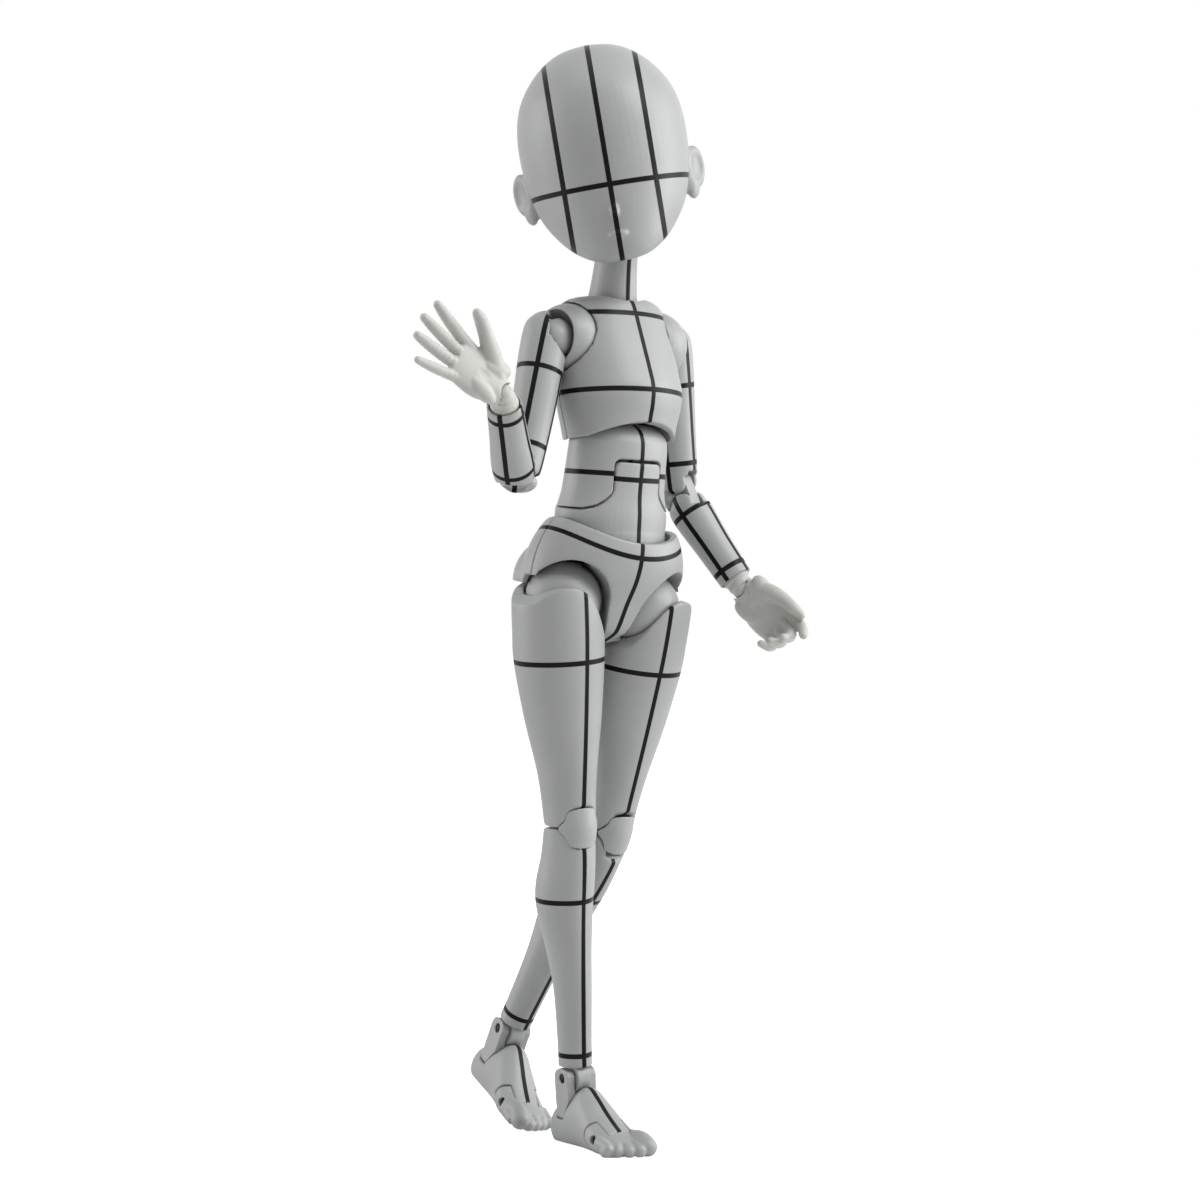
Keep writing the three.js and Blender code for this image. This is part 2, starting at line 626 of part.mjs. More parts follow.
function relaxedHand() {
  const curl = [26, 44, 52, 60];
  const fingers = curl.map((angle, i) => {
    const length = fingerLength * [0.92, 1, 0.95, 0.76][i];
    const base = [0, palmWidth * (-0.34 + 0.235 * i), -palmLength + 0.4];
    const points = [base];
    [0.42, 0.32, 0.24].forEach((share, k) => {
      const turn = rad(angle * (0.55 + 0.75 * k));
      const [x, y, z] = points[k];
      points.push([x - length * share * sin(turn), y, z - length * share * cos(turn)]);
    });
    const thick = fingerRadius * (i === 3 ? 0.86 : 0.96);
    return digit(points, [thick, thick * 0.96, thick * 0.86, thick * 0.7], 5);
  });
  const thumb = digit([
    [-0.2, -1.2, -1.8], [-0.9, -2.6, -4.2], [-1.3, -3.1, -6.6], [-1.5, -3.2, -9],
  ], [1.3, 1.05, 0.85, 0.5]);
  return cut(joined(palmShape(0.35), ...fingers, thumb), wristSocket());
}

// Trunk below the chest: two abdomen shells rock on a barrel, and the lower one turns in the pelvis
const abdomenHalf = abdomenWidth / 2;
const abdomenFront = -abdomenDepth / 2;
const abdomenBack = abdomenDepth / 2;
const bellyStations = [
  [-6.6, abdomenHalf * 1.06, abdomenFront - 0.6, abdomenBack + 0.5],
  [-3.4, abdomenHalf * 1.09, abdomenFront - 0.45, abdomenBack + 0.5],
  [-0.6, abdomenHalf, abdomenFront - 0.1, abdomenBack + 0.1],
  [4.4, abdomenHalf * 0.98, abdomenFront - 0.1, abdomenBack - 0.7],
];
const tabHalf = 2.75;
const tabRise = 1.6;

// Where the upper abdomen ends: low at the sides, up round the tab in front
function bellySeam(shift) {
  const side = -2.9 + shift;
  const rim = -1.4 + shift;
  return slab('y', [
    [-12, side], [-5.5, side], [-4.2, side + 0.35],
    [-tabHalf - 0.9 - shift, rim - 0.5], [-tabHalf - shift, rim],
    [tabHalf + shift, rim], [tabHalf + 0.9 + shift, rim - 0.5], [4.2, side + 0.35], [5.5, side], [12, side],
    [12, -14], [-12, -14],
  ], 40);
}

const barrelProfile = (grow) => [
  [0, -5.5 - grow], [2.9 + grow, -5.5 - grow], [bellyBarrel - 0.4 + grow, -3.6], [bellyBarrel + grow, 0],
  [bellyBarrel - 0.4 + grow, 3.6], [2.9 + grow, 5.5 + grow], [0, 5.5 + grow],
];

const barrelTop = 1.7; // flat top of the barrel above the belly hinge
const chestPeg = 1.2; // radius
const waistPeg = 1.2; // radius

function upperAbdomenShape() {
  const body = loft([...bellyStations,
    [5.4, abdomenHalf * 0.9, abdomenFront + 0.7, abdomenBack - 1.6],
    [6.2, abdomenHalf * 0.74, abdomenFront + 1.5, abdomenBack - 1.9],
    [6.7, abdomenHalf * 0.46, abdomenFront + 2.9, abdomenBack - 2.9],
  ], { around: 16, between: 1 });
  const barrel = turned('x', barrelProfile(2 * turnGap), [0, 0, 0], 14);
  const room = barrel.intersect(block(20, 20, 12, [0, 0, barrelTop + 1.1 - 6]));
  const notch = block(2 * (tabHalf + turnGap), 10, 12, [0, -5, tabRise + turnGap - 6]);
  const bore = rod('z', chestPeg + turnGap, 6, [0, 0, chestRise - 3], 8);
  const top = ball(chestDisc + 1.1, [0, 0, chestRise], 10, 6);
  return cut(body, bellySeam(0), room, notch, bore, top);
}

function lowerAbdomenShape() {
  const radius = 6.3;
  const lift = -bellyRise;
  const skirt = loft(bellyStations, { around: 16, between: 1 }).intersect(bellySeam(-bellyGap));
  const bowl = ball(1, [0, 0, lift], 16, 8, [abdomenHalf * 1.09, radius, radius]);
  const base = joined(skirt, bowl.intersect(block(30, 30, 14, [0, 0, lift - 6.9])));
  const roundedBase = base.intersect(joined(bowl, block(30, 30, 12, [0, 0, lift + 6.1])));
  const barrel = turned('x', barrelProfile(0), [0, 0, 0], 14);
  const cutTop = block(20, 16, 8, [0, 0, barrelTop + 4]);
  const cutBottom = block(20, 20, 6, [0, 0, lift - waistDepth - 3]);
  const slot = joined(
    rod('y', waistDisc + turnGap, 3.6 + 2 * turnGap, [0, 0, lift], 12),
    slab('y', [[-1.7, lift], [1.7, lift], [3.4, lift - 8], [-3.4, lift - 8]], 3.6 + 2 * turnGap),
  );
  return cut(joined(roundedBase, barrel), cutTop, cutBottom, slot);
}

const waistDepth = 1.9; // flat bottom of the lower abdomen below the waist joint

const waistJoint = () => joined(
  rod('y', waistDisc, 3.6, [0, 0, 0], 12),
  rod('z', waistPeg, 5.4, [0, 0, -2.7], 8),
);

const chestJoint = () => joined(
  rod('x', chestDisc, chestDiscWidth, [0, 0, 0], 12),
  rod('z', chestPeg, 4.2, [0, 0, -2.1], 8),
);

// Pelvis: a collar above, two round leg openings and a narrow bridge between the legs
function pelvisShape() {
  const half = pelvisWidth / 2;
  const deep = pelvisDepth / 2;
  const body = loft([
    [-crotchDrop, half * 0.16, -1.2, 2.2],
    [-3, half * 0.72, -3.9, deep * 0.84],
    [0, half * 0.94, -5.5, deep * 1.03],
    [3, half, -6.6, deep * 1.05],
    [5.8, half * 0.97, -6.9, deep],
    [8.8, half * 0.8, -6.3, deep * 0.86],
    [9.6, half * 0.74, -6, deep * 0.8],
  ], { around: 16, between: 1 });
  const rim = slab('y', [...arc([0, 33.4], 26, 245, 295, 8), [14, 14], [-14, 14]], 40);
  const bowl = ball(1, [0, 0.5, waistRise], 16, 8,
    [abdomenHalf * 1.09 + 0.8, 6.85, 6.7]);
  const bowlFloor = block(30, 30, 10, [0, 0, waistRise - waistDepth - 1.5 - 5]);
  const hipX = hipSpacing / 2;
  const opening = (side) => slab('y', [
    ...arc([side * hipX, hipDrop], legOpening, side > 0 ? 180 : 0, side > 0 ? 0 : 180, 12),
    [side * (hipX + legOpening), -12], [side * 0.3, -12], [side * 0.4, -crotchDrop],
  ], 40);
  const outward = (side) => block(8, 30, 12, [side * (hipX + legOpening + 2.4), 0, hipDrop - 6]);
  const throughBore = rod('x', hipPeg + turnGap, 12, [0, 0, 0], 8);
  const waistBore = rod('z', waistPeg + turnGap, 6, [0, 0.5, waistRise - 5.4 + 3 - 0.2], 8);
  return cut(body, rim, bowl.subtract(bowlFloor), opening(1), opening(-1), outward(1), outward(-1),
    throughBore, waistBore);
}

// Hip: a peg and disc in the pelvis, a round cover on the disc, and the thigh turning on the cover's peg
const hipJoint = () => joined(
  rod('y', hipDisc, 2.6, [0, 0, 0], 12),
  rod('x', hipPeg, hipSpacing / 2 - 0.3, [-hipSpacing / 4 - 0.15, 0, 0], 8),
);

function hipCover() {
  const round = ball(hipRadius, [0, 0, hipDrop], 14, 8);
  const lowCut = block(20, 20, 6, [0, 0, -3.2 - 3]);
  const slot = joined(
    rod('y', hipDisc + turnGap, 2.6 + 2 * turnGap, [0, 0, 0], 12),
    slab('y', [[0, 2.1], [-6, 3], [-6, -5], [-1.4, -3.6], [0.6, -2]], 2.6 + 2 * turnGap),
  );
  const peg = rod('z', 1.3, 5, [0, 0, -5.4], 8);
  return joined(cut(round, lowCut, slot), peg);
}

function thighShape() {
  const half = thighWidth / 2;
  const low = kneeWidth / 2;
  const mid = thighLength + kneeSpan / 2;
  const body = loft([
    [-mid - 0.3, low, -3.2, 3.15],
    [-mid + 7, low * 1.18, -3.9, 3.7, 0, thighX * 0.3],
    [-mid * 0.52, half * 0.85, -4.6, 4.5, 0, thighX * 0.7],
    [-7.8, half * 0.99, -5.2, 5.3, 0, thighX],
    [-4, half, -5.3, 5.4, 0, thighX],
    [0, half * 0.96, -5, 5.2, 0, thighX],
    [3, half * 0.84, -4.4, 4.6, 0, thighX],
  ], { around: 12, between: 1 });
  const rimEdge = [[-12, -7], [-5, -6.6], [-3.6, -4.8], [2, -2.2], [4, -0.9], [5.4, -0.4], [12, -0.2]];
  const rim = slab('y', [...rimEdge, [12, 14], [-12, 14]], 40);
  const seat = ball(hipRadius + 0.45, [0, 0, hipDrop], 14, 6);
  const bore = rod('z', 1.3 + turnGap, 5.4, [0, 0, -5.6], 8);
  const kneeCut = moved(limbEndCutter(knee, 1), placeOf([0, 0, -mid]));
  return cut(body, rim, seat, bore, kneeCut);
}

const kneeSkin = () => loft([
  [-kneeSpan - 1, kneeWidth / 2, -3.1, 3.2],
  [0, kneeWidth / 2 + 0.05, -3.6, 3.2],
  [kneeSpan + 1, kneeWidth / 2 + 0.1, -3.2, 3.2],
], { around: 12, between: 1 });

function shinShape() {
  const low = ankleWidth / 2;
  const half = calfWidth / 2;
  const end = -shinLength + 1.4;
  const rise = kneeSpan / 2;
  const body = loft([
    [end, low, -low, low],
    [-18, low * 1.12, -2.3, 2.7, 0.2, 0],
    [-13, half * 0.78, -2.5, 3.8, 0.5, 0.2],
    [-8, half * 0.96, -2.8, 4.8, 0.9, 0.4],
    [-5, half, -3.1, 4.7, 0.8, 0.3],
    [-1.5, half * 0.93, -3.3, 3.7, 0.3, 0.1],
    [rise + 0.3, kneeWidth / 2, -3.2, 3.15, 0, 0],
  ], { around: 12, between: 1, ridge: 0.22 });
  const kneeCut = moved(limbEndCutter(knee, -1), placeOf([0, 0, rise]));
  const bore = rod('z', 1 + turnGap, 8, [0, 0, end + 1.5], 8);
  const cup = rod('z', ankleFlange + 2 * turnGap, 1.7, [0, 0, end], 10);
  return cut(body, kneeCut, bore, cup);
}

// Ankle: a peg with a lug turns in the shin, a fork hangs on the lug's pin and rolls in the foot
const lugHalf = 0.85;
const lugReach = 1.75; // radius of the lug
const forkHalf = 2.05;
const forkDepth = 1.9;

const ankleLug = () => cut(
  joined(
    rod('x', lugReach, 2 * lugHalf, [0, -0.35, 0], 12),
    rod('z', 1, 6.2, [0, 0, 3.4], 8),
    rod('z', ankleFlange, 0.7, [0, 0, 1.7], 10),
  ),
  rod('x', anklePin + pinGap, 4, [0, 0, 0], 8),
);

function ankleFork() {
  const cheeks = slab('x', [
    ...arc([0, 0], 1.15, 180, 0, 6), [forkDepth * 0.62, -ankleDrop], [-forkDepth * 0.62, -ankleDrop],
  ], 2 * forkHalf);
  const foot = rod('y', 1.35, 2 * forkDepth * 0.7, [0, 0, -ankleDrop], 10);
  const core = block(2.7, 2 * forkDepth * 0.7, ankleDrop - 1.4, [0, 0, -ankleDrop / 2 - 1]);
  const gap = joined(
    slab('x', [
      ...arc([0, -0.35], lugReach + 2 * turnGap, 200, 340, 8), [4, 4], [-4, 4],
    ], 2 * (lugHalf + turnGap)),
  );
  const narrow = (side) => block(3, 8, 3, [side * (1.35 + 1.5), 0, -ankleDrop - 0.4]);
  const bore = rod('x', anklePin + pinGap, 8, [0, 0, 0], 8);
  return cut(joined(cheeks, core, foot), gap, narrow(1), narrow(-1), bore);
}

// Foot: heel and instep in one piece, with a tongue for the toe hinge. Its origin is the roll joint.
function footSkin() {
  const half = footWidth / 2;
  const sole = -rollHeight - 0.6;
  const tip = footLength - heelReach;
  return loftForward([
    [-heelReach, half * 0.3, -3.6, -1.4],
    [-heelReach + 0.6, half * 0.52, sole, -0.4],
    [0.4, half * 0.72, sole, 1.6],
    [2.6, half * 0.76, sole, 2.9],
    [4.6, half * 0.82, sole, 1.6],
    [6.6, half * 0.91, sole, 0.1],
    [10.6, half, sole, -2.1],
    [tip - 1.2, half * 0.94, sole, -2.8],
  ], { around: 12, between: 1 });
}

const toeZ = -rollHeight + toeHingeHeight;
const tongueHalf = 1.55;
const soleCut = () => block(30, 60, 6, [0, 0, -rollHeight - 3]);

function footShape() {
  const slot = joined(
    block(3.1, 3.6, 8, [0, 0.1, 3.6]),
    rod('y', 1.35 + turnGap, 3.1, [0, 0.1, 0], 10),
    block(2 * (1.35 + turnGap), 3.1, 3, [0, 0.1, 1.4]),
    block(8, 7.6, 8, [0, 2.6, 5.1]),
    block(8, 3.9, 8, [0, 0.3, 3.4]),
  );
  const toeDisc = rod('x', 2.15 + turnGap, 20, [0, -toeHinge, toeZ], 10);
  const sides = (side) => block(8, 20, 20, [side * (tongueHalf + turnGap / 2 + 4), -toeHinge - 10, 0]);
  const discSideX = tongueHalf + turnGap / 2 + 4;
  const discSides = (side) => toeDisc.intersect(block(8, 20, 20, [side * discSideX, -toeHinge, 0]));
  const tongueEnd = slab('x', [
    [-toeHinge - 1, 6], [-toeHinge - 1.4, -0.6], ...arc([-toeHinge, toeZ], 1.7, 130, 270, 6),
    [-toeHinge, -8], [-24, -8], [-24, 6],
  ], 2 * tongueHalf + 1);
  return cut(footSkin(), soleCut(), slot, sides(1), sides(-1), discSides(1), discSides(-1), tongueEnd,
    rod('x', toePin + pinGap, 20, [0, -toeHinge, toeZ], 6));
}

function toesShape() {
  const half = footWidth / 2;
  const tip = footLength - heelReach;
  const base = joined(
    footSkin().intersect(block(20, 6, 20, [0, -toeHinge - 3, 0])),
    footSkin().intersect(rod('x', 2.15, 20, [0, -toeHinge, toeZ], 10)),
  );
  const toes = [0, 1, 2, 3, 4].map((i) => {
    const x = -half * 0.66 + i * half * 0.38;
    const radius = [1.15, 0.82, 0.78, 0.74, 0.72][i];
    const reach = tip - [0, 0.1, 0.6, 1.3, 2.2][i];
    return digit([[x * 0.92, -toeHinge - 1.5, toeZ - 0.3], [x, -reach + radius, -rollHeight + radius * 0.9]],
      [radius * 1.05, radius], 5);
  });
  const body = joined(base.intersect(block(20, 3.9, 20, [0, -toeHinge - 1.6, 0])), ...toes);
  const tongue = slab('x', [
    [-toeHinge + 4, 8], [-toeHinge - 1 - turnGap, 8], [-toeHinge - 1.45 - turnGap, -0.6],
    ...arc([-toeHinge, toeZ], 1.7 + turnGap, 130, 270, 6), [-toeHinge + 4, -8],
  ], 2 * (tongueHalf + turnGap));
  return cut(body, soleCut(), tongue, rod('x', toePin + pinGap, 20, [0, -toeHinge, toeZ], 6));
}

// Assembly
function piece(name, shape, color, roughness = 0.5, metalness = 0) {
  const material = new THREE.MeshStandardMaterial({ color, roughness, metalness });
  const mesh = new THREE.Mesh(asGeometry(shape), material);
  mesh.name = name;
  return mesh;
}

// One turning joint: a group at the joint's centre, turned about one of its axes
function hinge(parent, name, place, axis, degrees) {
  const group = new THREE.Group();
  group.name = name;
  group.position.set(...place);
  group.rotation[axis] = rad(degrees);
  group.userData.axis = axis;
  parent.add(group);
  return group;
}

function addLeg(pelvis, side, mirror) {
  const angles = pose[side];
  const made = (shape) => (mirror > 0 ? shape : mirrored(shape));
  const hip = hinge(pelvis, `${side}_hip_swing`, [mirror * hipSpacing / 2, 0, 0], 'x', angles.swing);
  hip.add(piece(`${side}_hip_joint`, made(hipJoint()), paleParts));
  const cover = hinge(hip, `${side}_hip_spread`, [0, 0, 0], 'y', -mirror * angles.spread);
  cover.add(piece(`${side}_hip_cover`, made(hipCover()), greyBody));
  const thigh = hinge(cover, `${side}_thigh_turn`, [0, 0, 0], 'z', angles.thighTurn);
  thigh.add(piece(`${side}_thigh`, made(thighShape()), greyBody));
  const upperPin = piece(`${side}_knee_upper_pin`, hingePin(knee), darkSteel, 0.35, 1);
  upperPin.position.set(0, knee.axisShift, -thighLength);
  thigh.add(upperPin);
  const middle = hinge(thigh, `${side}_knee_upper`, [0, knee.axisShift, -thighLength], 'x', angles.kneeUpper);
  const blockMesh = piece(`${side}_kneecap`, made(hingeBlock(knee, kneeSkin())), greyBody);
  blockMesh.position.set(0, -knee.axisShift, -kneeSpan / 2);
  middle.add(blockMesh);
  const shin = hinge(middle, `${side}_knee_lower`, [0, 0, -kneeSpan], 'x', angles.kneeLower);
  const shinMesh = piece(`${side}_shin`, made(shinShape()), greyBody);
  shinMesh.position.y = -knee.axisShift;
  shin.add(shinMesh, piece(`${side}_knee_lower_pin`, hingePin(knee), darkSteel, 0.35, 1));
  const lug = hinge(shin, `${side}_ankle_turn`, [0, -knee.axisShift, -shinLength], 'z', angles.ankleTurn);
  lug.add(piece(`${side}_ankle_lug`, made(ankleLug()), paleParts));
  const fork = hinge(lug, `${side}_ankle_bend`, [0, 0, 0], 'x', angles.ankleBend);
  fork.add(piece(`${side}_ankle_fork`, made(ankleFork()), greyBody));
  const anklePinRod = rod('x', anklePin, 2 * forkHalf - 0.3, [0, 0, 0], 6);
  fork.add(piece(`${side}_ankle_pin`, anklePinRod, darkSteel, 0.35, 1));
  const foot = hinge(fork, `${side}_foot_roll`, [0, 0, -ankleDrop], 'y', -mirror * angles.ankleTilt);
  foot.add(piece(`${side}_foot`, made(footShape()), paleParts));
  const toePinRod = rod('x', toePin, footWidth - 1.2, [0, 0, 0], 6);
  const toePinMesh = piece(`${side}_toe_pin`, toePinRod, darkSteel, 0.35, 1);
  toePinMesh.position.set(0, -toeHinge, toeZ);
  foot.add(toePinMesh);
  const toes = hinge(foot, `${side}_toe_bend`, [0, -toeHinge, toeZ], 'x', angles.toeBend);
  const toesMesh = piece(`${side}_toes`, made(toesShape()), paleParts);
  toesMesh.position.set(0, toeHinge, -toeZ);
  toes.add(toesMesh);
  return foot;
}

function addArm(chest, side, mirror, hand) {
  const angles = pose[side];
  const made = (shape) => (mirror > 0 ? shape : mirrored(shape));
  const baseAt = [mirror * shoulderBaseX, shoulderY, shoulderRise];
  const base = hinge(chest, `${side}_shoulder_swing`, baseAt, 'z', angles.shoulderSwing);
  base.add(piece(`${side}_shoulder_base`, made(shoulderBaseShape()), greyBody));
  const disc = hinge(base, `${side}_arm_swing`, [mirror * shoulderReach, 0, 0], 'x', angles.armSwing);
  disc.add(piece(`${side}_shoulder_disc`, made(shoulderDiscShape()), greyBody));
  const arm = hinge(disc, `${side}_arm_raise`, [0, 0, 0], 'y', -mirror * angles.armRaise);
  arm.add(piece(`${side}_shoulder_ball`, made(shoulderBallShape()), greyBody));
  const turn = hinge(arm, `${side}_arm_turn`, [0, 0, 0], 'z', angles.armTurn);
  turn.add(piece(`${side}_upper_arm`, made(upperArmShape()), greyBody));
  const upperPin = piece(`${side}_elbow_upper_pin`, hingePin(elbow), darkSteel, 0.35, 1);
  upperPin.position.set(0, -elbow.axisShift, -upperArmLength);
  turn.add(upperPin);
  const elbowSpot = [0, -elbow.axisShift, -upperArmLength];
  const middle = hinge(turn, `${side}_elbow_upper`, elbowSpot, 'x', angles.elbowUpper);
  const blockMesh = piece(`${side}_elbow_block`, made(hingeBlock(elbow, elbowSkin())), greyBody);
  blockMesh.position.set(0, elbow.axisShift, -elbowSpan / 2);
  middle.add(blockMesh);
  const forearm = hinge(middle, `${side}_elbow_lower`, [0, 0, -elbowSpan], 'x', angles.elbowLower);
  const forearmMesh = piece(`${side}_forearm`, made(forearmShape()), greyBody);
  forearmMesh.position.y = elbow.axisShift;
  forearm.add(forearmMesh, piece(`${side}_elbow_lower_pin`, hingePin(elbow), darkSteel, 0.35, 1));
  const wristSpot = [0, elbow.axisShift, -forearmLength];
  const wrist = hinge(forearm, `${side}_wrist_turn`, wristSpot, 'z', angles.wristTurn);
  wrist.add(piece(`${side}_wrist_ball`, made(wristShape()), paleParts));
  const palm = hinge(wrist, `${side}_wrist_bend`, [0, 0, 0], 'x', angles.wristBend);
  const handMesh = piece(`${side}_hand`, made(hand), paleParts);
  handMesh.rotation.z = rad(angles.handTwist);
  palm.add(handMesh);
}

function buildFigure() {
  const figure = new THREE.Group();
  const pelvis = new THREE.Group();
  pelvis.name = 'pelvis';
  figure.add(pelvis);
  const pelvisHalves = halves(pelvisShape(), 0.4);
  pelvis.add(piece('pelvis_front', pelvisHalves.front, greyBody));
  pelvis.add(piece('pelvis_back', pelvisHalves.back, greyBody));

  const waist = hinge(pelvis, 'waist_turn', [0, 0.5, waistRise], 'z', pose.waistTurn);
  waist.add(piece('waist_joint', waistJoint(), paleParts));
  const lower = hinge(waist, 'side_bend', [0, 0, 0], 'y', pose.sideBend);
  const lowerMesh = piece('lower_abdomen', lowerAbdomenShape(), greyBody);
  lowerMesh.position.z = bellyRise;
  lower.add(lowerMesh);
  const upper = hinge(lower, 'belly_bend', [0, 0, bellyRise], 'x', pose.bellyBend);
  upper.add(piece('upper_abdomen', upperAbdomenShape(), greyBody));
  const chestPost = hinge(upper, 'chest_turn', [0, 0, chestRise], 'z', pose.chestTurn);
  chestPost.add(piece('chest_joint', chestJoint(), paleParts));
  const chest = hinge(chestPost, 'chest_bend', [0, 0, 0], 'x', pose.chestBend);
  const chestHalves = halves(chestShape(), shoulderY);
  chest.add(piece('chest_front', chestHalves.front, greyBody));
  chest.add(piece('chest_back', chestHalves.back, greyBody));

  const neckFoot = hinge(chest, 'neck_bend', [0, shoulderY, neckSeat], 'x', pose.neckBend);
  neckFoot.add(piece('neck_base_joint', neckBaseJoint(), paleParts));
  const neck = hinge(neckFoot, 'neck_tilt', [0, 0, neckUpperBall], 'y', pose.neckTilt);
  neck.add(piece('neck', neckShape(), greyBody));
  const headPost = hinge(neck, 'head_turn', [0, 0, neckLength - neckUpperBall], 'z', pose.headTurn);
  headPost.add(piece('head_joint', headJoint(), paleParts));
  const head = hinge(headPost, 'head_nod', [0, 0, 0], 'x', pose.headNod);
  const tilted = new THREE.Group();
  tilted.rotation.y = rad(pose.headTilt);
  head.add(tilted);
  const shells = headShells();
  tilted.add(piece('head_front', shells.front, greyBody), piece('head_back', shells.back, greyBody));

  addArm(chest, 'left', 1, relaxedHand());
  addArm(chest, 'right', -1, openHand());
  addLeg(pelvis, 'left', 1);
  const rightFoot = addLeg(pelvis, 'right', -1);
  return standOn(figure, rightFoot);
}

// Turns and moves the whole figure so that one foot stands flat at z = 0, its sole's middle at the origin
function standOn(figure, foot) {
  figure.updateMatrixWorld(true);
  const stand = new THREE.Matrix4().makeRotationZ(rad(standingYaw));
  stand.multiply(new THREE.Matrix4().makeTranslation(0, 0, rollHeight));
  stand.multiply(foot.matrixWorld.clone().invert());
  figure.applyMatrix4(stand);
  figure.updateMatrixWorld(true);
  return figure;
}

export default buildFigure();
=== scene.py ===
import json
from math import atan2, cos, pi, radians, sin, tan

import bmesh
import bpy
from mathutils import Matrix, Vector


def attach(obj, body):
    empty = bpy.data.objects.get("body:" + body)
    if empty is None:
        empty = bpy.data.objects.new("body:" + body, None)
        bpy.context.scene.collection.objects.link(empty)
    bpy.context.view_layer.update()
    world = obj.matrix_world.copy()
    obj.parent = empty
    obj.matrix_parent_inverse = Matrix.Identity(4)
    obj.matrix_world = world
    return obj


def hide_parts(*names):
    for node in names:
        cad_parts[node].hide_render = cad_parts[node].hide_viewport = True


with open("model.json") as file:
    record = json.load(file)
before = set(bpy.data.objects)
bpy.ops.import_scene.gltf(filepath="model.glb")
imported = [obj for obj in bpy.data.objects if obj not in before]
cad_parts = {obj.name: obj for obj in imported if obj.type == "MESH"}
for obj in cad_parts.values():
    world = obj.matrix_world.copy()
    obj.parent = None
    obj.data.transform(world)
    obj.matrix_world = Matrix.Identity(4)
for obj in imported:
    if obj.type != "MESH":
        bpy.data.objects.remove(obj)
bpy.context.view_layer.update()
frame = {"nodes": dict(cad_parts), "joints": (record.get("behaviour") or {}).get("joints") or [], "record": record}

print("frame loaded,", len(frame["nodes"]), "nodes")

# Shapes are modelled in millimetres in the frame of their own joint and go to metres when finished
metresPerMm = 0.001
# The sharpest voxels that keep the figure under two million triangles; trial runs use wider ones
coarse = 1.15
play = 0.15  # room round each tongue and disc, mm


def closed(bm):
    bmesh.ops.remove_doubles(bm, verts=bm.verts, dist=0.0005)
    bmesh.ops.recalc_face_normals(bm, faces=bm.faces)
    return bm


def turnTo(axis):
    turns = {"x": Matrix.Rotation(pi / 2, 4, "Y"), "y": Matrix.Rotation(-pi / 2, 4, "X")}
    return turns.get(axis, Matrix.Identity(4))


def ballForm(radius, centre=(0, 0, 0), stretch=(1, 1, 1), tilt=0):
    bm = bmesh.new()
    turn = Matrix.Rotation(radians(tilt), 4, "X")
    bmesh.ops.create_uvsphere(bm, u_segments=40, v_segments=20, radius=radius,
                              matrix=Matrix.Translation(centre) @ turn @ Matrix.Diagonal((*stretch, 1)))
    return bm


def rodForm(axis, radius, length, centre=(0, 0, 0), farRadius=None):
    bm = bmesh.new()
    bmesh.ops.create_cone(bm, cap_ends=True, segments=40, radius1=radius,
                          radius2=radius if farRadius is None else farRadius, depth=length,
                          matrix=Matrix.Translation(centre) @ turnTo(axis))
    return bm


def boxForm(size, centre=(0, 0, 0)):
    bm = bmesh.new()
    bmesh.ops.create_cube(bm, size=1, matrix=Matrix.Translation(centre) @ Matrix.Diagonal((*size, 1)))
    return bm


# All that lies behind the plane at y, or in front of it with towards at -1
def sideForm(y, towards):
    return boxForm((60, 60, 90), (0, y + towards * 30, 0))


# An outline of (y, z) points pulled along x, or of (x, z) points pulled along y
def plateForm(axis, outline, thickness, middle=0, soften=0):
    bm = bmesh.new()
    low = middle - thickness / 2
    spots = [(low, a, b) if axis == "x" else (a, low, b) for a, b in outline]
    face = bm.faces.new([bm.verts.new(spot) for spot in spots])
    made = bmesh.ops.extrude_face_region(bm, geom=[face])["geom"]
    way = Vector((thickness, 0, 0)) if axis == "x" else Vector((0, thickness, 0))
    bmesh.ops.translate(bm, vec=way, verts=[v for v in made if isinstance(v, bmesh.types.BMVert)])
    closed(bm)
    if soften:
        way.normalize()
        along = [e for e in bm.edges
                 if abs((e.verts[0].co - e.verts[1].co).normalized().dot(way)) > 0.99]
        bmesh.ops.bevel(bm, geom=along, offset=soften, offset_type="OFFSET", segments=5, profile=0.5,
                        affect="EDGES", material=-1, clamp_overlap=True)
    return bm


# A profile of (radius, height) points spun round an axis
def spunForm(axis, profile, centre=(0, 0, 0)):
    bm = bmesh.new()
    spots = [bm.verts.new((radius, 0, height)) for radius, height in profile]
    edges = [bm.edges.new(pair) for pair in zip(spots, spots[1:])]
    bmesh.ops.spin(bm, geom=spots + edges, cent=(0, 0, 0), axis=(0, 0, 1), angle=2 * pi, steps=48,
                   use_merge=True)
    bmesh.ops.transform(bm, matrix=Matrix.Translation(centre) @ turnTo(axis), verts=bm.verts)
    return closed(bm)


def arc(centre, radius, start, end, steps=10):
    turns = [radians(start + (end - start) * i / steps) for i in range(steps + 1)]
    return [(centre[0] + radius * cos(t), centre[1] + radius * sin(t)) for t in turns]


def around(rows, i):
    return [rows[min(len(rows) - 1, max(0, k))] for k in (i - 1, i, i + 1, i + 2)]


# A smooth curve from b to c that takes its slopes from a and d
def curved(a, b, c, d, t):
    return 0.5 * (2 * b + (c - a) * t + (2 * a - 5 * b + 4 * c - d) * t * t
                  + (3 * b - a - 3 * c + d) * t ** 3)


# A station is (z, half width, front y, back y, y of the widest point, x); the last two may be left out
def between(stations):
    steps = 5  # rings from one station to the next
    rows = [(*s, (s[2] + s[3]) / 2, 0) if len(s) == 4 else (*s, 0)[:6] for s in stations]
    smooth = []
    for i in range(len(rows) - 1):
        for step in range(steps):
            smooth.append([curved(*near, step / steps) for near in zip(*around(rows, i))])
    return smooth + [list(rows[-1])]


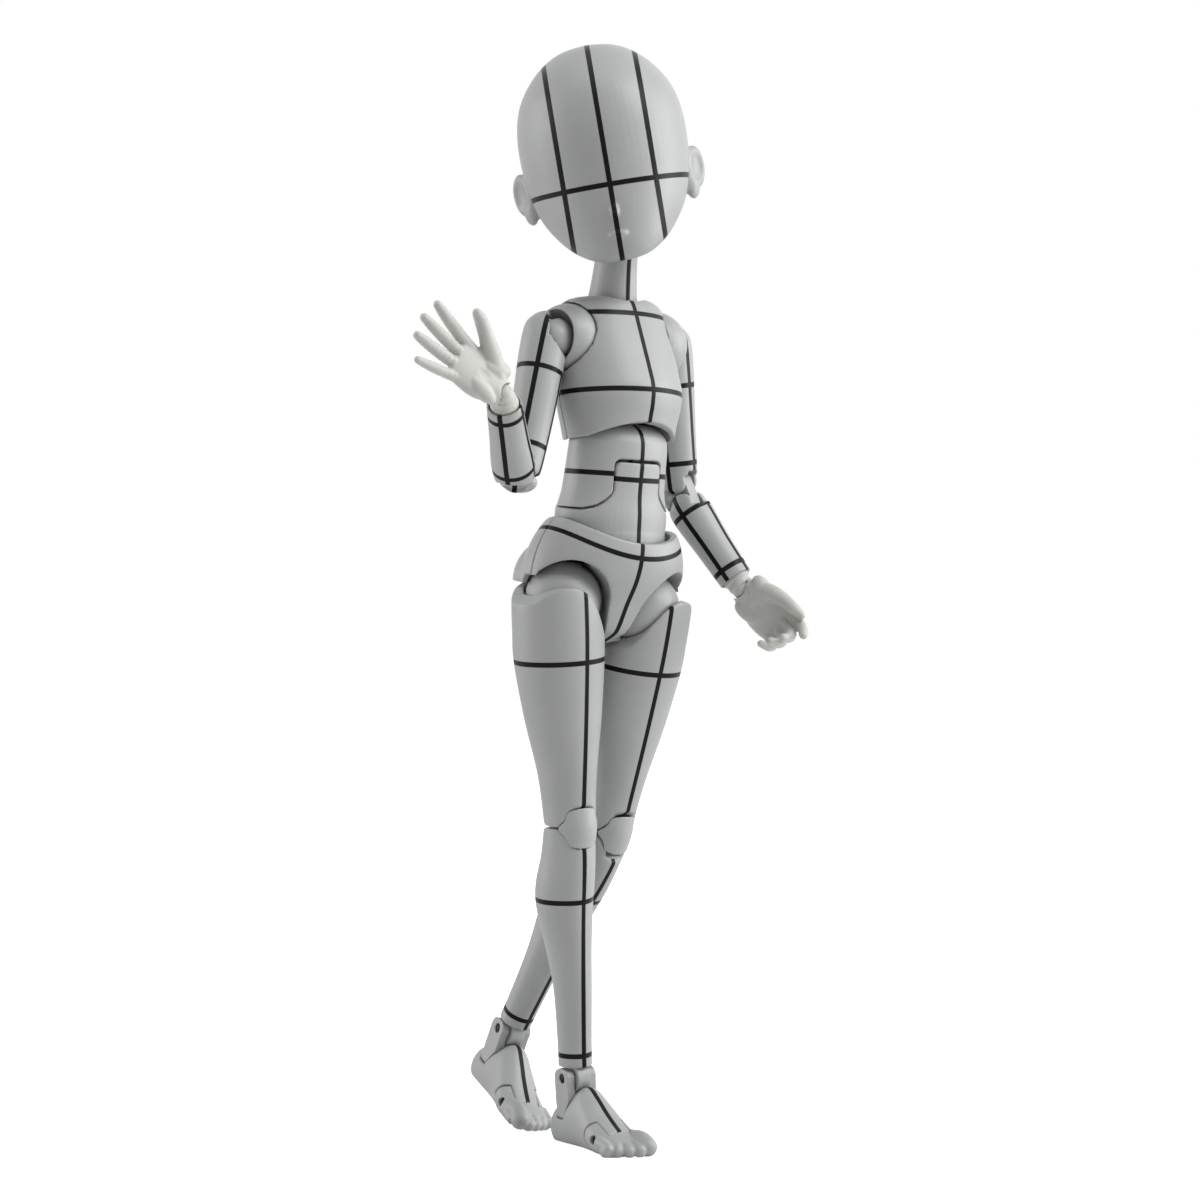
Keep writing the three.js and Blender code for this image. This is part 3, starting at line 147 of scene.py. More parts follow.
def loftForm(stations, sides=56, ridge=0.0):
    bm = bmesh.new()
    turn = bm.verts.layers.float.new("turn")
    ring = bmesh.ops.create_circle(bm, cap_ends=True, segments=sides, radius=1)["verts"]
    for vert in ring:
        vert[turn] = atan2(vert.co.y, vert.co.x)
    cap = list(bm.faces)[0]
    for number, (z, half, front, back, widest, x) in enumerate(between(stations)):
        if number:
            made = bmesh.ops.extrude_face_region(bm, geom=[cap])["geom"]
            if number > 1:
                bmesh.ops.delete(bm, geom=[cap], context="FACES_ONLY")
            cap = next(f for f in made if isinstance(f, bmesh.types.BMFace))
            ring = [v for v in made if isinstance(v, bmesh.types.BMVert)]
        for vert in ring:
            across, deep = cos(vert[turn]), sin(vert[turn])
            reach = widest - front if deep < 0 else back - widest
            narrow = 1 - ridge * max(0, -deep) ** 2
            vert.co = (x + half * narrow * across, widest + reach * deep, z)
    return closed(bm)


def forwardLoft(stations, **options):
    bm = loftForm(stations, **options)
    bmesh.ops.rotate(bm, verts=bm.verts, cent=(0, 0, 0), matrix=Matrix.Rotation(pi / 2, 3, "X"))
    return bm


# A row of balls along a smooth line, which the remesh melts into one finger
def fingerForm(points, radii, steps=4):
    bm = bmesh.new()
    line = [Vector(p) for p in points]
    last = len(line) - 1
    for i in range(last):
        for step in range(steps + (i == last - 1)):
            t = step / steps
            radius = radii[i] + (radii[i + 1] - radii[i]) * t
            bmesh.ops.create_uvsphere(bm, u_segments=18, v_segments=12, radius=radius,
                                      matrix=Matrix.Translation(curved(*around(line, i), t)))
    return bm


def moved(form, matrix):
    bmesh.ops.transform(form, matrix=matrix, verts=form.verts)
    return form


def together(*forms):
    whole = bmesh.new()
    for form in forms:
        mesh = bpy.data.meshes.new("part")
        form.to_mesh(mesh)
        whole.from_mesh(mesh)
        bpy.data.meshes.remove(mesh)
        form.free()
    return whole


def helperObject(bm):
    mesh = bpy.data.meshes.new("helper")
    bm.to_mesh(mesh)
    bm.free()
    obj = bpy.data.objects.new("helper", mesh)
    bpy.context.scene.collection.objects.link(obj)
    return obj


# Joins and cuts the forms, then melts the result into one skin whose edges are rounded like a moulding's
def mouldedMesh(base, adds=(), cuts=(), voxel=0, rounds=0, fuse=False, keep=()):
    main = helperObject(base)
    tools = []
    if fuse:
        melt = main.modifiers.new("fuse", "REMESH")
        melt.mode, melt.voxel_size = "VOXEL", voxel * coarse
    for operation, forms in (("UNION", adds), ("DIFFERENCE", cuts), ("INTERSECT", keep)):
        for form in forms:
            tool = helperObject(form)
            tools.append(tool)
            step = main.modifiers.new(operation.lower(), "BOOLEAN")
            step.operation, step.object, step.solver = operation, tool, "MANIFOLD"
    if voxel:
        melt = main.modifiers.new("melt", "REMESH")
        melt.mode, melt.voxel_size = "VOXEL", voxel * coarse
        melt.use_smooth_shade = True
    if rounds:
        ease = main.modifiers.new("ease", "SMOOTH")
        ease.factor, ease.iterations = 0.5, max(1, round(rounds / coarse ** 2))
    bpy.context.view_layer.update()
    graph = bpy.context.evaluated_depsgraph_get()
    mesh = bpy.data.meshes.new_from_object(main.evaluated_get(graph))
    for obj in [main, *tools]:
        old = obj.data
        bpy.data.objects.remove(obj)
        bpy.data.meshes.remove(old)
    return mesh


def formOf(mesh):
    form = bmesh.new()
    form.from_mesh(mesh)
    bpy.data.meshes.remove(mesh)
    return form


# Joined and cut, but still sharp-edged: a form for a later mouldedMesh
def carved(base, **steps):
    return formOf(mouldedMesh(base, **steps))


jointTable = {joint["name"]: joint for joint in frame["joints"]}
bodyNodes = frame["record"]["behaviour"]["bodies"]
bodyOfNode = {node: body for body, nodes in bodyNodes.items() for node in nodes}


def jointPoint(name):
    return Vector(jointTable[name]["pos_m"]) / metresPerMm


def jointAxis(name, towards=(1, 0, 0)):
    axis = Vector(jointTable[name]["axis"])
    return axis if axis.dot(Vector(towards)) > 0 else -axis


def placeOf(origin, up, across):
    up = up.normalized()
    across = (across - up * across.dot(up)).normalized()
    place = Matrix((across, up.cross(across), up)).transposed().to_4x4()
    place.translation = origin
    return place


def shifted(place, x=0, y=0, z=0):
    return place @ Matrix.Translation((x, y, z))


def turned(place, axis, degrees):
    return place @ Matrix.Rotation(radians(degrees), 4, axis)


def linear(code):
    parts = [int(code[i:i + 2], 16) / 255 for i in (0, 2, 4)]
    return tuple(p / 12.92 if p <= 0.04045 else ((p + 0.055) / 1.055) ** 2.4 for p in parts) + (1,)


def addNode(tree, kind, inputs=None, **settings):
    node = tree.nodes.new("ShaderNode" + kind)
    for name, value in settings.items():
        setattr(node, name, value)
    for name, value in (inputs or {}).items():
        if isinstance(value, bpy.types.NodeSocket):
            tree.links.new(value, node.inputs[name])
        else:
            node.inputs[name].default_value = value
    return node


# Pad-printed ink: a thin film, near black and less glossy than the plastic round it, with a soft edge.
# Its faint clouds of wear are drawn coarser than real ones, so that they show.
printedLine = {
    "width": 0.62, "edge": 0.035, "black": "050506", "worn": "0e0e10", "wearMm": 1 / 3, "rough": 0.36,
    "sheen": 0.12, "filmMm": 0.018
}
# Injection-moulded ABS: satin light grey. The mould was spark-eroded, and its grain, about 0.05 mm on
# the real one and drawn coarser so that it shows, breaks the highlights up. Slow clouds stand for flow.
absShell = {
    "name": "moulded_abs", "pale": "a3a5a4", "deep": "9d9f9e", "rough": 0.44, "ior": 1.54,
    "cloudMm": 9.0, "grainMm": 0.32, "grainDepthMm": 0.012
}
# Soft moulded PVC: paler, warmer and more matt than the shells, and light goes a little way into it
pvcSkin = {
    "name": "moulded_pvc", "pale": "bfbfbb", "deep": "b9b9b4", "rough": 0.5, "ior": 1.52,
    "cloudMm": 5.0, "grainMm": 0.3, "grainDepthMm": 0.008, "soft": 0.15, "softMm": 0.5
}
# Moulded acetal, POM: the hidden pegs, discs and balls run against the shells, so they are smoother
pomJoint = {
    "name": "moulded_pom", "pale": "bcbcb7", "deep": "b5b5b0", "rough": 0.36, "ior": 1.48,
    "cloudMm": 4.0, "grainMm": 0.25, "grainDepthMm": 0.005
}
# Turned steel, chemically blackened: dark pin ends with a dull metal glint and faint tool marks
pinSteel = {
    "dark": "1b1b1d", "light": "2e2e31", "markMm": 0.25, "smooth": 0.25, "rough": 0.42, "metallic": 0.9
}


# Each guide line is where a plane cuts the surface, half a line's width to either side of it
def inkMask(tree, spot, lines):
    total = None
    half, soft = printedLine["width"] / 2, printedLine["edge"]
    axes = addNode(tree, "SeparateXYZ", {0: spot})
    for line in lines:
        offset = addNode(
            tree, "VectorMath", {0: spot, 1: line["across"]}, operation="DOT_PRODUCT"
        ).outputs["Value"]
        offset = addNode(tree, "Math", {0: offset, 1: line["at"]}, operation="SUBTRACT").outputs[0]
        if line["bend"]:
            squared = addNode(
                tree, "Math", {0: axes.outputs["X"], 1: axes.outputs["X"]}, operation="MULTIPLY"
            ).outputs[0]
            offset = addNode(
                tree, "Math", {0: squared, 1: -line["bend"], 2: offset}, operation="MULTIPLY_ADD"
            ).outputs[0]
        offset = addNode(tree, "Math", {0: offset}, operation="ABSOLUTE").outputs[0]
        edge = addNode(tree, "MapRange", {
            "Value": offset, "From Min": half + soft, "From Max": half - soft, "To Min": 0.0,
            "To Max": 1.0
        }, interpolation_type="SMOOTHSTEP").outputs[0]
        for across, at in line["within"]:
            side = addNode(
                tree, "VectorMath", {0: spot, 1: across}, operation="DOT_PRODUCT"
            ).outputs["Value"]
            inside = addNode(tree, "Math", {0: side, 1: at}, operation="GREATER_THAN").outputs[0]
            edge = addNode(tree, "Math", {0: edge, 1: inside}, operation="MULTIPLY").outputs[0]
        total = edge if total is None else addNode(
            tree, "Math", {0: total, 1: edge}, operation="MAXIMUM"
        ).outputs[0]
    return total


def mouldedPlastic(node, place, side, plastic, lines=()):
    material = bpy.data.materials.new(plastic["name"] + "_" + node)
    material.use_nodes = True
    tree = material.node_tree
    tree.nodes.clear()
    # Patterns are laid out in the piece's own millimetres, mirrored with it
    spot = addNode(tree, "Mapping", {
        "Vector": addNode(tree, "TexCoord").outputs["Object"],
        "Location": place.translation * metresPerMm, "Rotation": tuple(place.to_euler("XYZ")),
        "Scale": (metresPerMm * side, metresPerMm, metresPerMm)
    }, vector_type="TEXTURE").outputs[0]
    cloud = addNode(tree, "TexNoise", {
        "Vector": spot, "Scale": 1 / plastic["cloudMm"], "Detail": 3.0, "Roughness": 0.55
    }).outputs[0]
    grain = addNode(tree, "TexNoise", {
        "Vector": spot, "Scale": 1 / plastic["grainMm"], "Detail": 2.0, "Roughness": 0.6
    }).outputs[0]
    tint = addNode(tree, "MapRange", {"Value": cloud, "From Min": 0.3, "From Max": 0.7}).outputs[0]
    color = addNode(tree, "Mix", {
        0: tint, 6: linear(plastic["deep"]), 7: linear(plastic["pale"])
    }, data_type="RGBA").outputs[2]
    rough = addNode(tree, "MapRange", {
        "Value": grain, "From Min": 0.3, "From Max": 0.7, "To Min": plastic["rough"] - 0.05,
        "To Max": plastic["rough"] + 0.05
    }).outputs[0]
    height = addNode(
        tree, "Math", {0: grain, 1: plastic["grainDepthMm"]}, operation="MULTIPLY"
    ).outputs[0]
    if lines:
        mask = inkMask(tree, spot, lines)
        wear = addNode(tree, "TexNoise", {
            "Vector": spot, "Scale": 1 / printedLine["wearMm"], "Detail": 2.0
        }).outputs[0]
        ink = addNode(tree, "Mix", {
            0: wear, 6: linear(printedLine["black"]), 7: linear(printedLine["worn"])
        }, data_type="RGBA").outputs[2]
        color = addNode(tree, "Mix", {0: mask, 6: color, 7: ink}, data_type="RGBA").outputs[2]
        rough = addNode(
            tree, "Mix", {0: mask, 2: rough, 3: printedLine["rough"]}, data_type="FLOAT"
        ).outputs[0]
        height = addNode(
            tree, "Math", {0: mask, 1: printedLine["filmMm"], 2: height}, operation="MULTIPLY_ADD"
        ).outputs[0]
    bump = addNode(tree, "Bump", {
        "Height": height, "Strength": 1.0, "Distance": metresPerMm
    }).outputs[0]
    shader = addNode(tree, "BsdfPrincipled", {
        "Base Color": color, "Roughness": rough, "Normal": bump, "IOR": plastic["ior"]
    })
    if lines:
        sheen = addNode(tree, "MapRange", {
            "Value": mask, "To Min": 0.5, "To Max": printedLine["sheen"]
        }).outputs[0]
        tree.links.new(sheen, shader.inputs["Specular IOR Level"])
    if "soft" in plastic:
        shader.inputs["Subsurface Weight"].default_value = plastic["soft"]
        shader.inputs["Subsurface Radius"].default_value = (1.0, 0.9, 0.8)
        shader.inputs["Subsurface Scale"].default_value = plastic["softMm"] * metresPerMm
    addNode(tree, "OutputMaterial", {"Surface": shader.outputs[0]})
    return material


def turnedSteel():
    material = bpy.data.materials.new("blackened_turned_steel")
    material.use_nodes = True
    tree = material.node_tree
    shader = tree.nodes["Principled BSDF"]
    marks = addNode(tree, "TexNoise", {
        "Vector": addNode(tree, "TexCoord").outputs["Object"],
        "Scale": 1 / (pinSteel["markMm"] * metresPerMm), "Detail": 2.0
    }).outputs[0]
    shade = addNode(tree, "Mix", {
        0: marks, 6: linear(pinSteel["dark"]), 7: linear(pinSteel["light"])
    }, data_type="RGBA").outputs[2]
    rough = addNode(tree, "MapRange", {
        "Value": marks, "To Min": pinSteel["smooth"], "To Max": pinSteel["rough"]
    }).outputs[0]
    tree.links.new(shade, shader.inputs["Base Color"])
    tree.links.new(rough, shader.inputs["Roughness"])
    shader.inputs["Metallic"].default_value = pinSteel["metallic"]
    return material


blackenedSteel = turnedSteel()


# Puts a mesh in its place, mirrored for the right side, hangs it on its node's body and hides the node
def finish(node, mesh, place, side=1, plastic=absShell, lines=(), material=None):
    mirror = Matrix.Diagonal((side, 1, 1, 1))
    mesh.transform(Matrix.Scale(metresPerMm, 4) @ place @ mirror)
    if side < 0:
        mesh.flip_normals()
    mesh.name = node + "_skin"
    mesh.materials.clear()
    mesh.materials.append(material or mouldedPlastic(node, place, side, plastic, lines))
    mesh.polygons.foreach_set("use_smooth", [True] * len(mesh.polygons))
    piece = bpy.data.objects.new(node + "_skin", mesh)
    bpy.context.scene.collection.objects.link(piece)
    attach(piece, bodyOfNode[node])
    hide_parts(node)


sideways, forwards, backwards = (1, 0, 0), (0, -1, 0), (0, 1, 0)
upwards, downwards = (0, 0, 1), (0, 0, -1)


# A line at a distance along a direction; within limits it to what lies further than that along others
def guideLine(across, at=0, bend=0, within=()):
    return {"across": across, "at": at, "bend": bend, "within": within}


def ringLine(z, bend=0, within=()):
    return guideLine(upwards, z, bend, within)


middleLine, sideLine = guideLine(sideways), guideLine(backwards)

head = {
    "width": 20.4, "depth": 21.8, "height": 26.6, "chinDrop": 3.2, "nod": -6.6, "tilt": -15.0,
    "parting": 1.0, "seam": 0.1, "earOut": 0.55, "earBack": 1.7, "earUp": 6.4, "earFlare": -34,
    "earLean": -7, "sideLines": 5.55, "eyeLine": 5.9, "eyeLineFrom": 5.6, "voxel": 0.15, "earVoxel": 0.1
}
headPlace = placeOf(jointPoint("head_nod"), jointAxis("head_turn", upwards), jointAxis("head_nod"))
headPlace = turned(turned(headPlace, "X", head["nod"]), "Y", head["tilt"])


def skullForm():
    half, front, back = head["width"] / 2, -head["depth"] * 0.485, head["depth"] * 0.52
    top = head["height"] - head["chinDrop"]
    return loftForm([
        (-3.2, 0, -7.3, -7.3, -7.3), (-3.05, half * 0.2, -8.2, -5.2, -6.8),
        (-2.5, half * 0.37, -9.0, -3, -6.2), (-1.2, half * 0.55, -9.6, 1.5, -4),
        (0.6, half * 0.705, -10, 5, -1.5), (3, half * 0.85, front * 0.965, 8, 0),
        (6, half * 0.945, front * 0.97, back * 0.9, 0.8), (10, half, front * 1.01, back, 1),
        (14, half * 0.99, front, back, 1), (17.4, half * 0.9, front * 0.9, back * 0.92, 0.9),
        (20.2, half * 0.71, front * 0.71, back * 0.74, 0.8),
        (22, half * 0.5, front * 0.48, back * 0.53, 0.7),
        (22.95, half * 0.29, front * 0.26, back * 0.33, 0.6), (top, 0, 0.5, 0.5, 0.5)
    ], sides=72)


def neckHollow():
    return spunForm("z", [
        (0, 2.05), (0.9, 1.85), (1.75, 1.05), (2.1, 0.1), (3.4, -0.4), (3.9, -1.6), (5.2, -4.4),
        (0, -4.4)
    ])


# The ear stands off the head towards the back: a flared oval with a bowl that leaves a rolled rim
def earForms():
    spot = Matrix.Translation((head["width"] / 2 - head["earOut"], head["earBack"], head["earUp"]))
    flare = turned(turned(spot, "Z", head["earFlare"]), "X", head["earLean"])
    shell = together(
        ballForm(1, (0, 1.5, 0.7), (0.75, 1.95, 2.7)), ballForm(1, (-0.05, 0.8, -1.6), (0.7, 1.2, 1.7)),
        ballForm(1, (-0.3, 0.1, 0.2), (0.8, 1.2, 2.2))
    )
    bowl = ballForm(1, (0.75, 1.45, 0.75), (0.62, 1.3, 2.0))
    return moved(shell, flare), moved(bowl, flare)


def noseForm():
    bridge = ballForm(0.8, (0, -10.25, 2.75), (0.62, 0.75, 1.05), 16)
    return together(bridge, ballForm(0.5, (0, -10.62, 2.35), (0.8, 0.7, 0.7)))


lips = ballForm(1, (0, -9.95, -0.1), (1.15, 0.42, 0.42))
mouth = ballForm(1, (0, -10.42, -0.05), (0.95, 0.3, 0.1))
frontEdge, backEdge = head["parting"] - head["seam"] / 2, head["parting"] + head["seam"] / 2
frontMesh = mouldedMesh(skullForm(), [noseForm(), lips], [neckHollow(), sideForm(frontEdge, 1), mouth],
                        voxel=head["voxel"], rounds=4)
headLines = [
    middleLine, guideLine(sideways, head["sideLines"]), guideLine(sideways, -head["sideLines"])
]
finish("head_front", frontMesh, headPlace, lines=headLines + [ringLine(head["eyeLine"])])

lobe, lobeBowl = earForms()
ear = formOf(mouldedMesh(lobe, [], [lobeBowl], voxel=head["earVoxel"], rounds=4, fuse=True))
otherEar = ear.copy()
bmesh.ops.scale(otherEar, vec=(-1, 1, 1), verts=otherEar.verts)
bmesh.ops.reverse_faces(otherEar, faces=otherEar.faces)
backShell = carved(skullForm(), cuts=[neckHollow()], keep=[sideForm(backEdge, 1)])
backMesh = mouldedMesh(together(backShell, ear, otherEar), [], [sideForm(backEdge, -1)],
                       voxel=head["voxel"], rounds=4, fuse=True)
backEyeLine = ringLine(head["eyeLine"], within=[(backwards, head["eyeLineFrom"])])
finish("head_back", backMesh, headPlace, lines=headLines + [backEyeLine])
print("head done")

neck = {
    "lowBall": 1.7, "highBall": 1.36, "headBall": 1.9, "stem": 0.8, "headSocket": 2.05,
    "footSocket": 2.0
}
neckUp = jointAxis("head_turn", upwards)
neckPlace = placeOf(jointPoint("neck_tilt"), neckUp, jointAxis("neck_bend"))
neckBody = loftForm([
    (-2.7, 3.3, -3.3, 3.3), (-1.9, 3.0, -3.05, 3.05), (0.2, 2.75, -2.8, 2.8), (2.2, 2.62, -2.62, 2.62),
    (4.4, 2.55, -2.5, 2.5)
])
neckCuts = [
    ballForm(neck["headSocket"], (0, 0, 5.8)), rodForm("z", neck["footSocket"], 2.6, (0, 0, -2.3), 2.6)
]
neckMesh = mouldedMesh(neckBody, [], neckCuts, voxel=0.12, rounds=4)
finish("neck", neckMesh, neckPlace, lines=[guideLine(sideways, within=[(forwards, 0.0)])])

neckFoot, neckTop = jointPoint("neck_bend"), jointPoint("neck_tilt")
neckStem = together(ballForm(neck["lowBall"]), rodForm("z", neck["stem"], 3.4, (0, 0, 1.7)),
                    ballForm(neck["highBall"], (0, 0, 3.4)))
finish("neck_base_joint", mouldedMesh(neckStem, voxel=0.1, rounds=3),
       placeOf(neckFoot, neckTop - neckFoot, jointAxis("neck_bend")), plastic=pomJoint)
headStem = together(ballForm(neck["headBall"]), rodForm("z", neck["stem"], 3.1, (0, 0, -1.7)))
finish("head_joint", mouldedMesh(headStem, voxel=0.1, rounds=3),
       placeOf(jointPoint("head_nod"), neckUp, jointAxis("head_nod")), plastic=pomJoint)

chest = {
    "half": 8.4, "baseX": 6.6, "shoulderY": 0.8, "shoulderZ": 10.1, "armhole": 4.34, "neckSeat": 13.8,
    "ballSeat": 1.85, "seam": 0.1, "lowerLine": 3.35, "upperLine": 12.95, "upperLineBack": 12.35,
    "voxel": 0.15
}
chestPlace = placeOf(
    jointPoint("chest_bend"), jointAxis("left_shoulder_swing", upwards), jointAxis("chest_bend")
)


def chestForm():
    half = chest["half"]
    return loftForm([
        (-2.1, half * 0.865, -5.85, 5.6, -0.2), (0, half * 0.92, -6.35, 5.65, -0.2),
        (1.6, half * 0.965, -6.85, 5.7, -0.2), (3.6, half, -7.1, 5.7, -0.2),
        (6, half * 0.99, -6.45, 5.8, 0), (8.6, half * 0.97, -5.6, 5.7, 0.2),
        (11.2, half * 0.945, -4.75, 5.5, 0.5), (13, half * 0.9, -4.15, 5.4, 0.7),
        (14.3, half * 0.83, -3.6, 5.2, 0.8), (15, half * 0.7, -2.9, 4.7, 0.8),
        (15.2, half * 0.6, -2.5, 4.3, 0.8)
    ], sides=72)


def chestCuts():
    spotY, spotZ = chest["shoulderY"], chest["shoulderZ"]
    collar = spunForm("z", [
        (0, -3), (1.9, -3), (1.85, -1.5), (1.95, -1), (3.75, -0.9), (4.45, 3), (0, 3)
    ], (0, spotY, chest["neckSeat"]))
    cuts = [collar, ballForm(chest["ballSeat"], (0, spotY, chest["neckSeat"]))]
    for side in (1, -1):
        cuts.append(rodForm("x", chest["armhole"], 8, (side * (chest["baseX"] + 4), spotY, spotZ)))
        cuts.append(ballForm(chest["armhole"], (side * chest["baseX"], spotY, spotZ)))
    cuts.append(ballForm(1, (0, 0, -2.0), (6.95, 5.5, 2.9)))
    cuts.append(plateForm("y", arc((0, -14.9), 14.4, 128, 52, 20) + [(14, -6), (-14, -6)], 40))
    cuts.append(rodForm("x", 2.25, 3.5))
    cuts.append(boxForm((3.5, 4.5, 4), (0, 0, -2)))
    return cuts


chestLines = [middleLine, ringLine(chest["lowerLine"]),
              ringLine(chest["upperLine"], within=[(forwards, 0.0)]),
              ringLine(chest["upperLineBack"], within=[(backwards, 1.0)])]
for node, towards in (("chest_front", -1), ("chest_back", 1)):
    shell = mouldedMesh(chestForm(), [], chestCuts(), voxel=chest["voxel"], rounds=4,
                        keep=[sideForm(chest["shoulderY"] + towards * chest["seam"] / 2, towards)])
    finish(node, shell, chestPlace, lines=chestLines)
print("chest done")

belly = {
    "half": 6.8, "front": -5.1, "back": 5.1, "barrel": 4.45, "barrelHalf": 3.45, "tabHalf": 3.35,
    "tabTop": 3.0, "gap": 0.17, "waistZ": -6.5, "upperLine": 1.4, "lowerLine": 1.0, "voxel": 0.13
}
bellySpot = jointPoint("belly_bend")
bellyPlace = placeOf(bellySpot, jointAxis("chest_turn", upwards), jointAxis("belly_bend"))
lowerPlace = placeOf(bellySpot, bellySpot - jointPoint("waist_turn"), jointAxis("belly_bend"))
bellyStations = [
    (-6.6, belly["half"] * 1.06, belly["front"] - 0.6, belly["back"] + 0.5),
    (-3.4, belly["half"] * 1.09, belly["front"] - 0.45, belly["back"] + 0.5),
    (-0.6, belly["half"], belly["front"] - 0.1, belly["back"] + 0.1),
    (4.4, belly["half"] * 0.98, belly["front"] - 0.1, belly["back"] - 0.7)
]


def barrelForm(grow):
    radius, end = belly["barrel"] + grow - 0.1, belly["barrelHalf"] + grow
    return spunForm("x", [
        (0, -end), (radius - 0.9, -end), (radius - 0.3, -2.4), (radius, 0), (radius - 0.3, 2.4),
        (radius - 0.9, end), (0, end)
    ])


# The seam between the two abdomen shells: low at the sides, curving up to the tab in front
def seamForm(shift):
    edge = [(-12, -3), (-6.4, -2.85), (-5.3, -2.45), (-4.4, -1.8), (-3.75, -1.1), (-3.4, -0.4)]
    edge += [(-x, z) for x, z in edge[::-1]]
    return plateForm("y", [(x, z + shift) for x, z in edge] + [(12, -14), (-12, -14)], 40)


def tabForm(grow, deep):
    half, top = belly["tabHalf"] + grow, belly["tabTop"] + grow
    return plateForm(
        "y", [(-half, -4), (half, -4), (half, top), (-half, top)], 12 - deep, -6 - deep / 2, 0.75
    )


def bellySkin():
    half, front, back = belly["half"], belly["front"], belly["back"]
    return loftForm(
        bellyStations
        + [
            (5.8, half * 0.95, front + 0.15, back - 0.8), (6.7, half * 0.85, front + 0.75, back - 1.3),
            (7.3, half * 0.65, front + 1.8, back - 2.2), (7.6, half * 0.4, front + 3.0, back - 3.2)
        ]
    )


gap, waistZ = belly["gap"], belly["waistZ"]
room = carved(barrelForm(0.3), keep=[boxForm((20, 20, 12), (0, 0, 2.8 - 6))])
upperCuts = [
    seamForm(0), room, tabForm(gap, 2.9), rodForm("z", 1.35, 6, (0, 0, 4.4)),
    ballForm(2.75, (0, 0, 7.4))
]
finish(
    "upper_abdomen", mouldedMesh(bellySkin(), [], upperCuts, voxel=belly["voxel"], rounds=3),
    bellyPlace, lines=[middleLine, ringLine(belly["upperLine"])]
)

waistBall = ballForm(1, (0, 0, waistZ), (belly["half"] * 1.09, 5.8, 6.3))
barrel = carved(barrelForm(0), cuts=[boxForm((20, 16, 8), (0, 4, 1.7 + 4))])
lowerAdds = [waistBall, barrel, carved(bellySkin(), keep=[tabForm(0, 3.3)])]
lowerCuts = [
    boxForm((20, 20, 6), (0, 0, waistZ - 1.9 - 3)), rodForm("y", 2.15, 3.9, (0, 0, waistZ)),
    plateForm("y", [(-1.7, waistZ), (1.7, waistZ), (3.4, waistZ - 8), (-3.4, waistZ - 8)], 3.9)
]
lowerMesh = mouldedMesh(carved(loftForm(bellyStations), keep=[seamForm(-gap)]), lowerAdds, lowerCuts,
                        voxel=belly["voxel"], rounds=3)
finish("lower_abdomen", lowerMesh, lowerPlace,
       lines=[middleLine, ringLine(belly["lowerLine"], within=[(forwards, 2.0), (upwards, 0.3)])])


# A hidden joint: a disc lying along an axis, on a peg that points down or inwards
def discOnPeg(axis, discRadius, width, pegAxis, pegRadius, length, pegSpot):
    return together(rodForm(axis, discRadius, width), rodForm(pegAxis, pegRadius, length, pegSpot))


waistPlace = placeOf(
    jointPoint("waist_turn"), jointAxis("waist_turn", upwards), jointAxis("left_hip_swing")
)
finish(
    "waist_joint",
    mouldedMesh(discOnPeg("y", 2, 3.6, "z", 1.2, 5.4, (0, 0, -2.7)), voxel=0.1, rounds=3),
    turned(waistPlace, "Z", 3.6), plastic=pomJoint
)
finish(
    "chest_joint",
    mouldedMesh(discOnPeg("x", 2.1, 3.2, "z", 1.2, 4.2, (0, 0, -2.1)), voxel=0.1, rounds=3),
    placeOf(jointPoint("chest_bend"), jointAxis("chest_turn", upwards), jointAxis("chest_bend")),
    plastic=pomJoint
)

pelvis = {
    "half": 10.4, "deep": 7.0, "crotch": 4.7, "hipX": 5.9, "hipZ": -0.4, "opening": 4.95, "splay": 20,
    "parting": 0.4, "seam": 0.08, "ringLine": 5.75, "ringBend": 0.026, "voxel": 0.14
}
leftHip, rightHip = jointPoint("left_hip_swing"), jointPoint("right_hip_swing")
pelvisPlace = placeOf((leftHip + rightHip) / 2, jointAxis("waist_turn", upwards), leftHip - rightHip)


def pelvisForm():
    half, deep = pelvis["half"], pelvis["deep"]
    return loftForm([
        (-pelvis["crotch"] - 0.3, half * 0.14, -1.0, 2.0), (-4, half * 0.5, -2.9, deep * 0.6),
        (-3, half * 0.74, -3.9, deep * 0.84), (0, half * 1.0, -5.1, deep * 1.08),
        (3, half * 1.03, -6.45, deep * 1.15), (5.8, half * 0.98, -6.9, deep * 1.12),
        (8.2, half * 0.88, -6.5, deep * 0.98), (9.6, half * 0.77, -6, deep * 0.85),
        (10.3, half * 0.71, -5.7, deep * 0.78)
    ], sides=72)


# Each leg opening is a splayed tunnel in front, a leg line cut straight back and a ball where the hip sits
def pelvisCuts():
    hipX, opening, inner = pelvis["hipX"], pelvis["opening"], 0.4 - pelvis["crotch"]
    hollow = carved(
        ballForm(1, (0, 0.3, 7.5), (8.0, 6.05, 6.7)), cuts=[boxForm((30, 30, 10), (0, 0, -0.9))]
    )
    cuts = [plateForm("y", arc((0, 25.9), 18.4, 238, 302, 24) + [(14, 14), (-14, 14)], 40), hollow]
    bend = arc((0, 0), opening, 180, 30, 28)
    tunnel = bend + [(14, bend[-1][1]), (14, -12), (-5.5, -12), (-5.4, inner)]
    legLine = [
        (-5.4, inner), (-4.7, -2.2), (-3.5, 0), (-1.8, 1.3), (0.4, 1.6), (3, 1.4), (14, 1.3), (14, -12),
        (-5.5, -12)
    ]
    for side in (1, -1):
        front, back = ([(side * x, z) for x, z in outline] for outline in (tunnel, legLine))
        splay = Matrix.Rotation(radians(side * pelvis["splay"]), 4, "Z")
        holes = [
            moved(plateForm("y", front, 30.4, -15), splay), plateForm("y", back, 30.4, 15),
            ballForm(opening)
        ]
        cuts += [moved(hole, Matrix.Translation((side * hipX, 0, pelvis["hipZ"]))) for hole in holes]
    return cuts


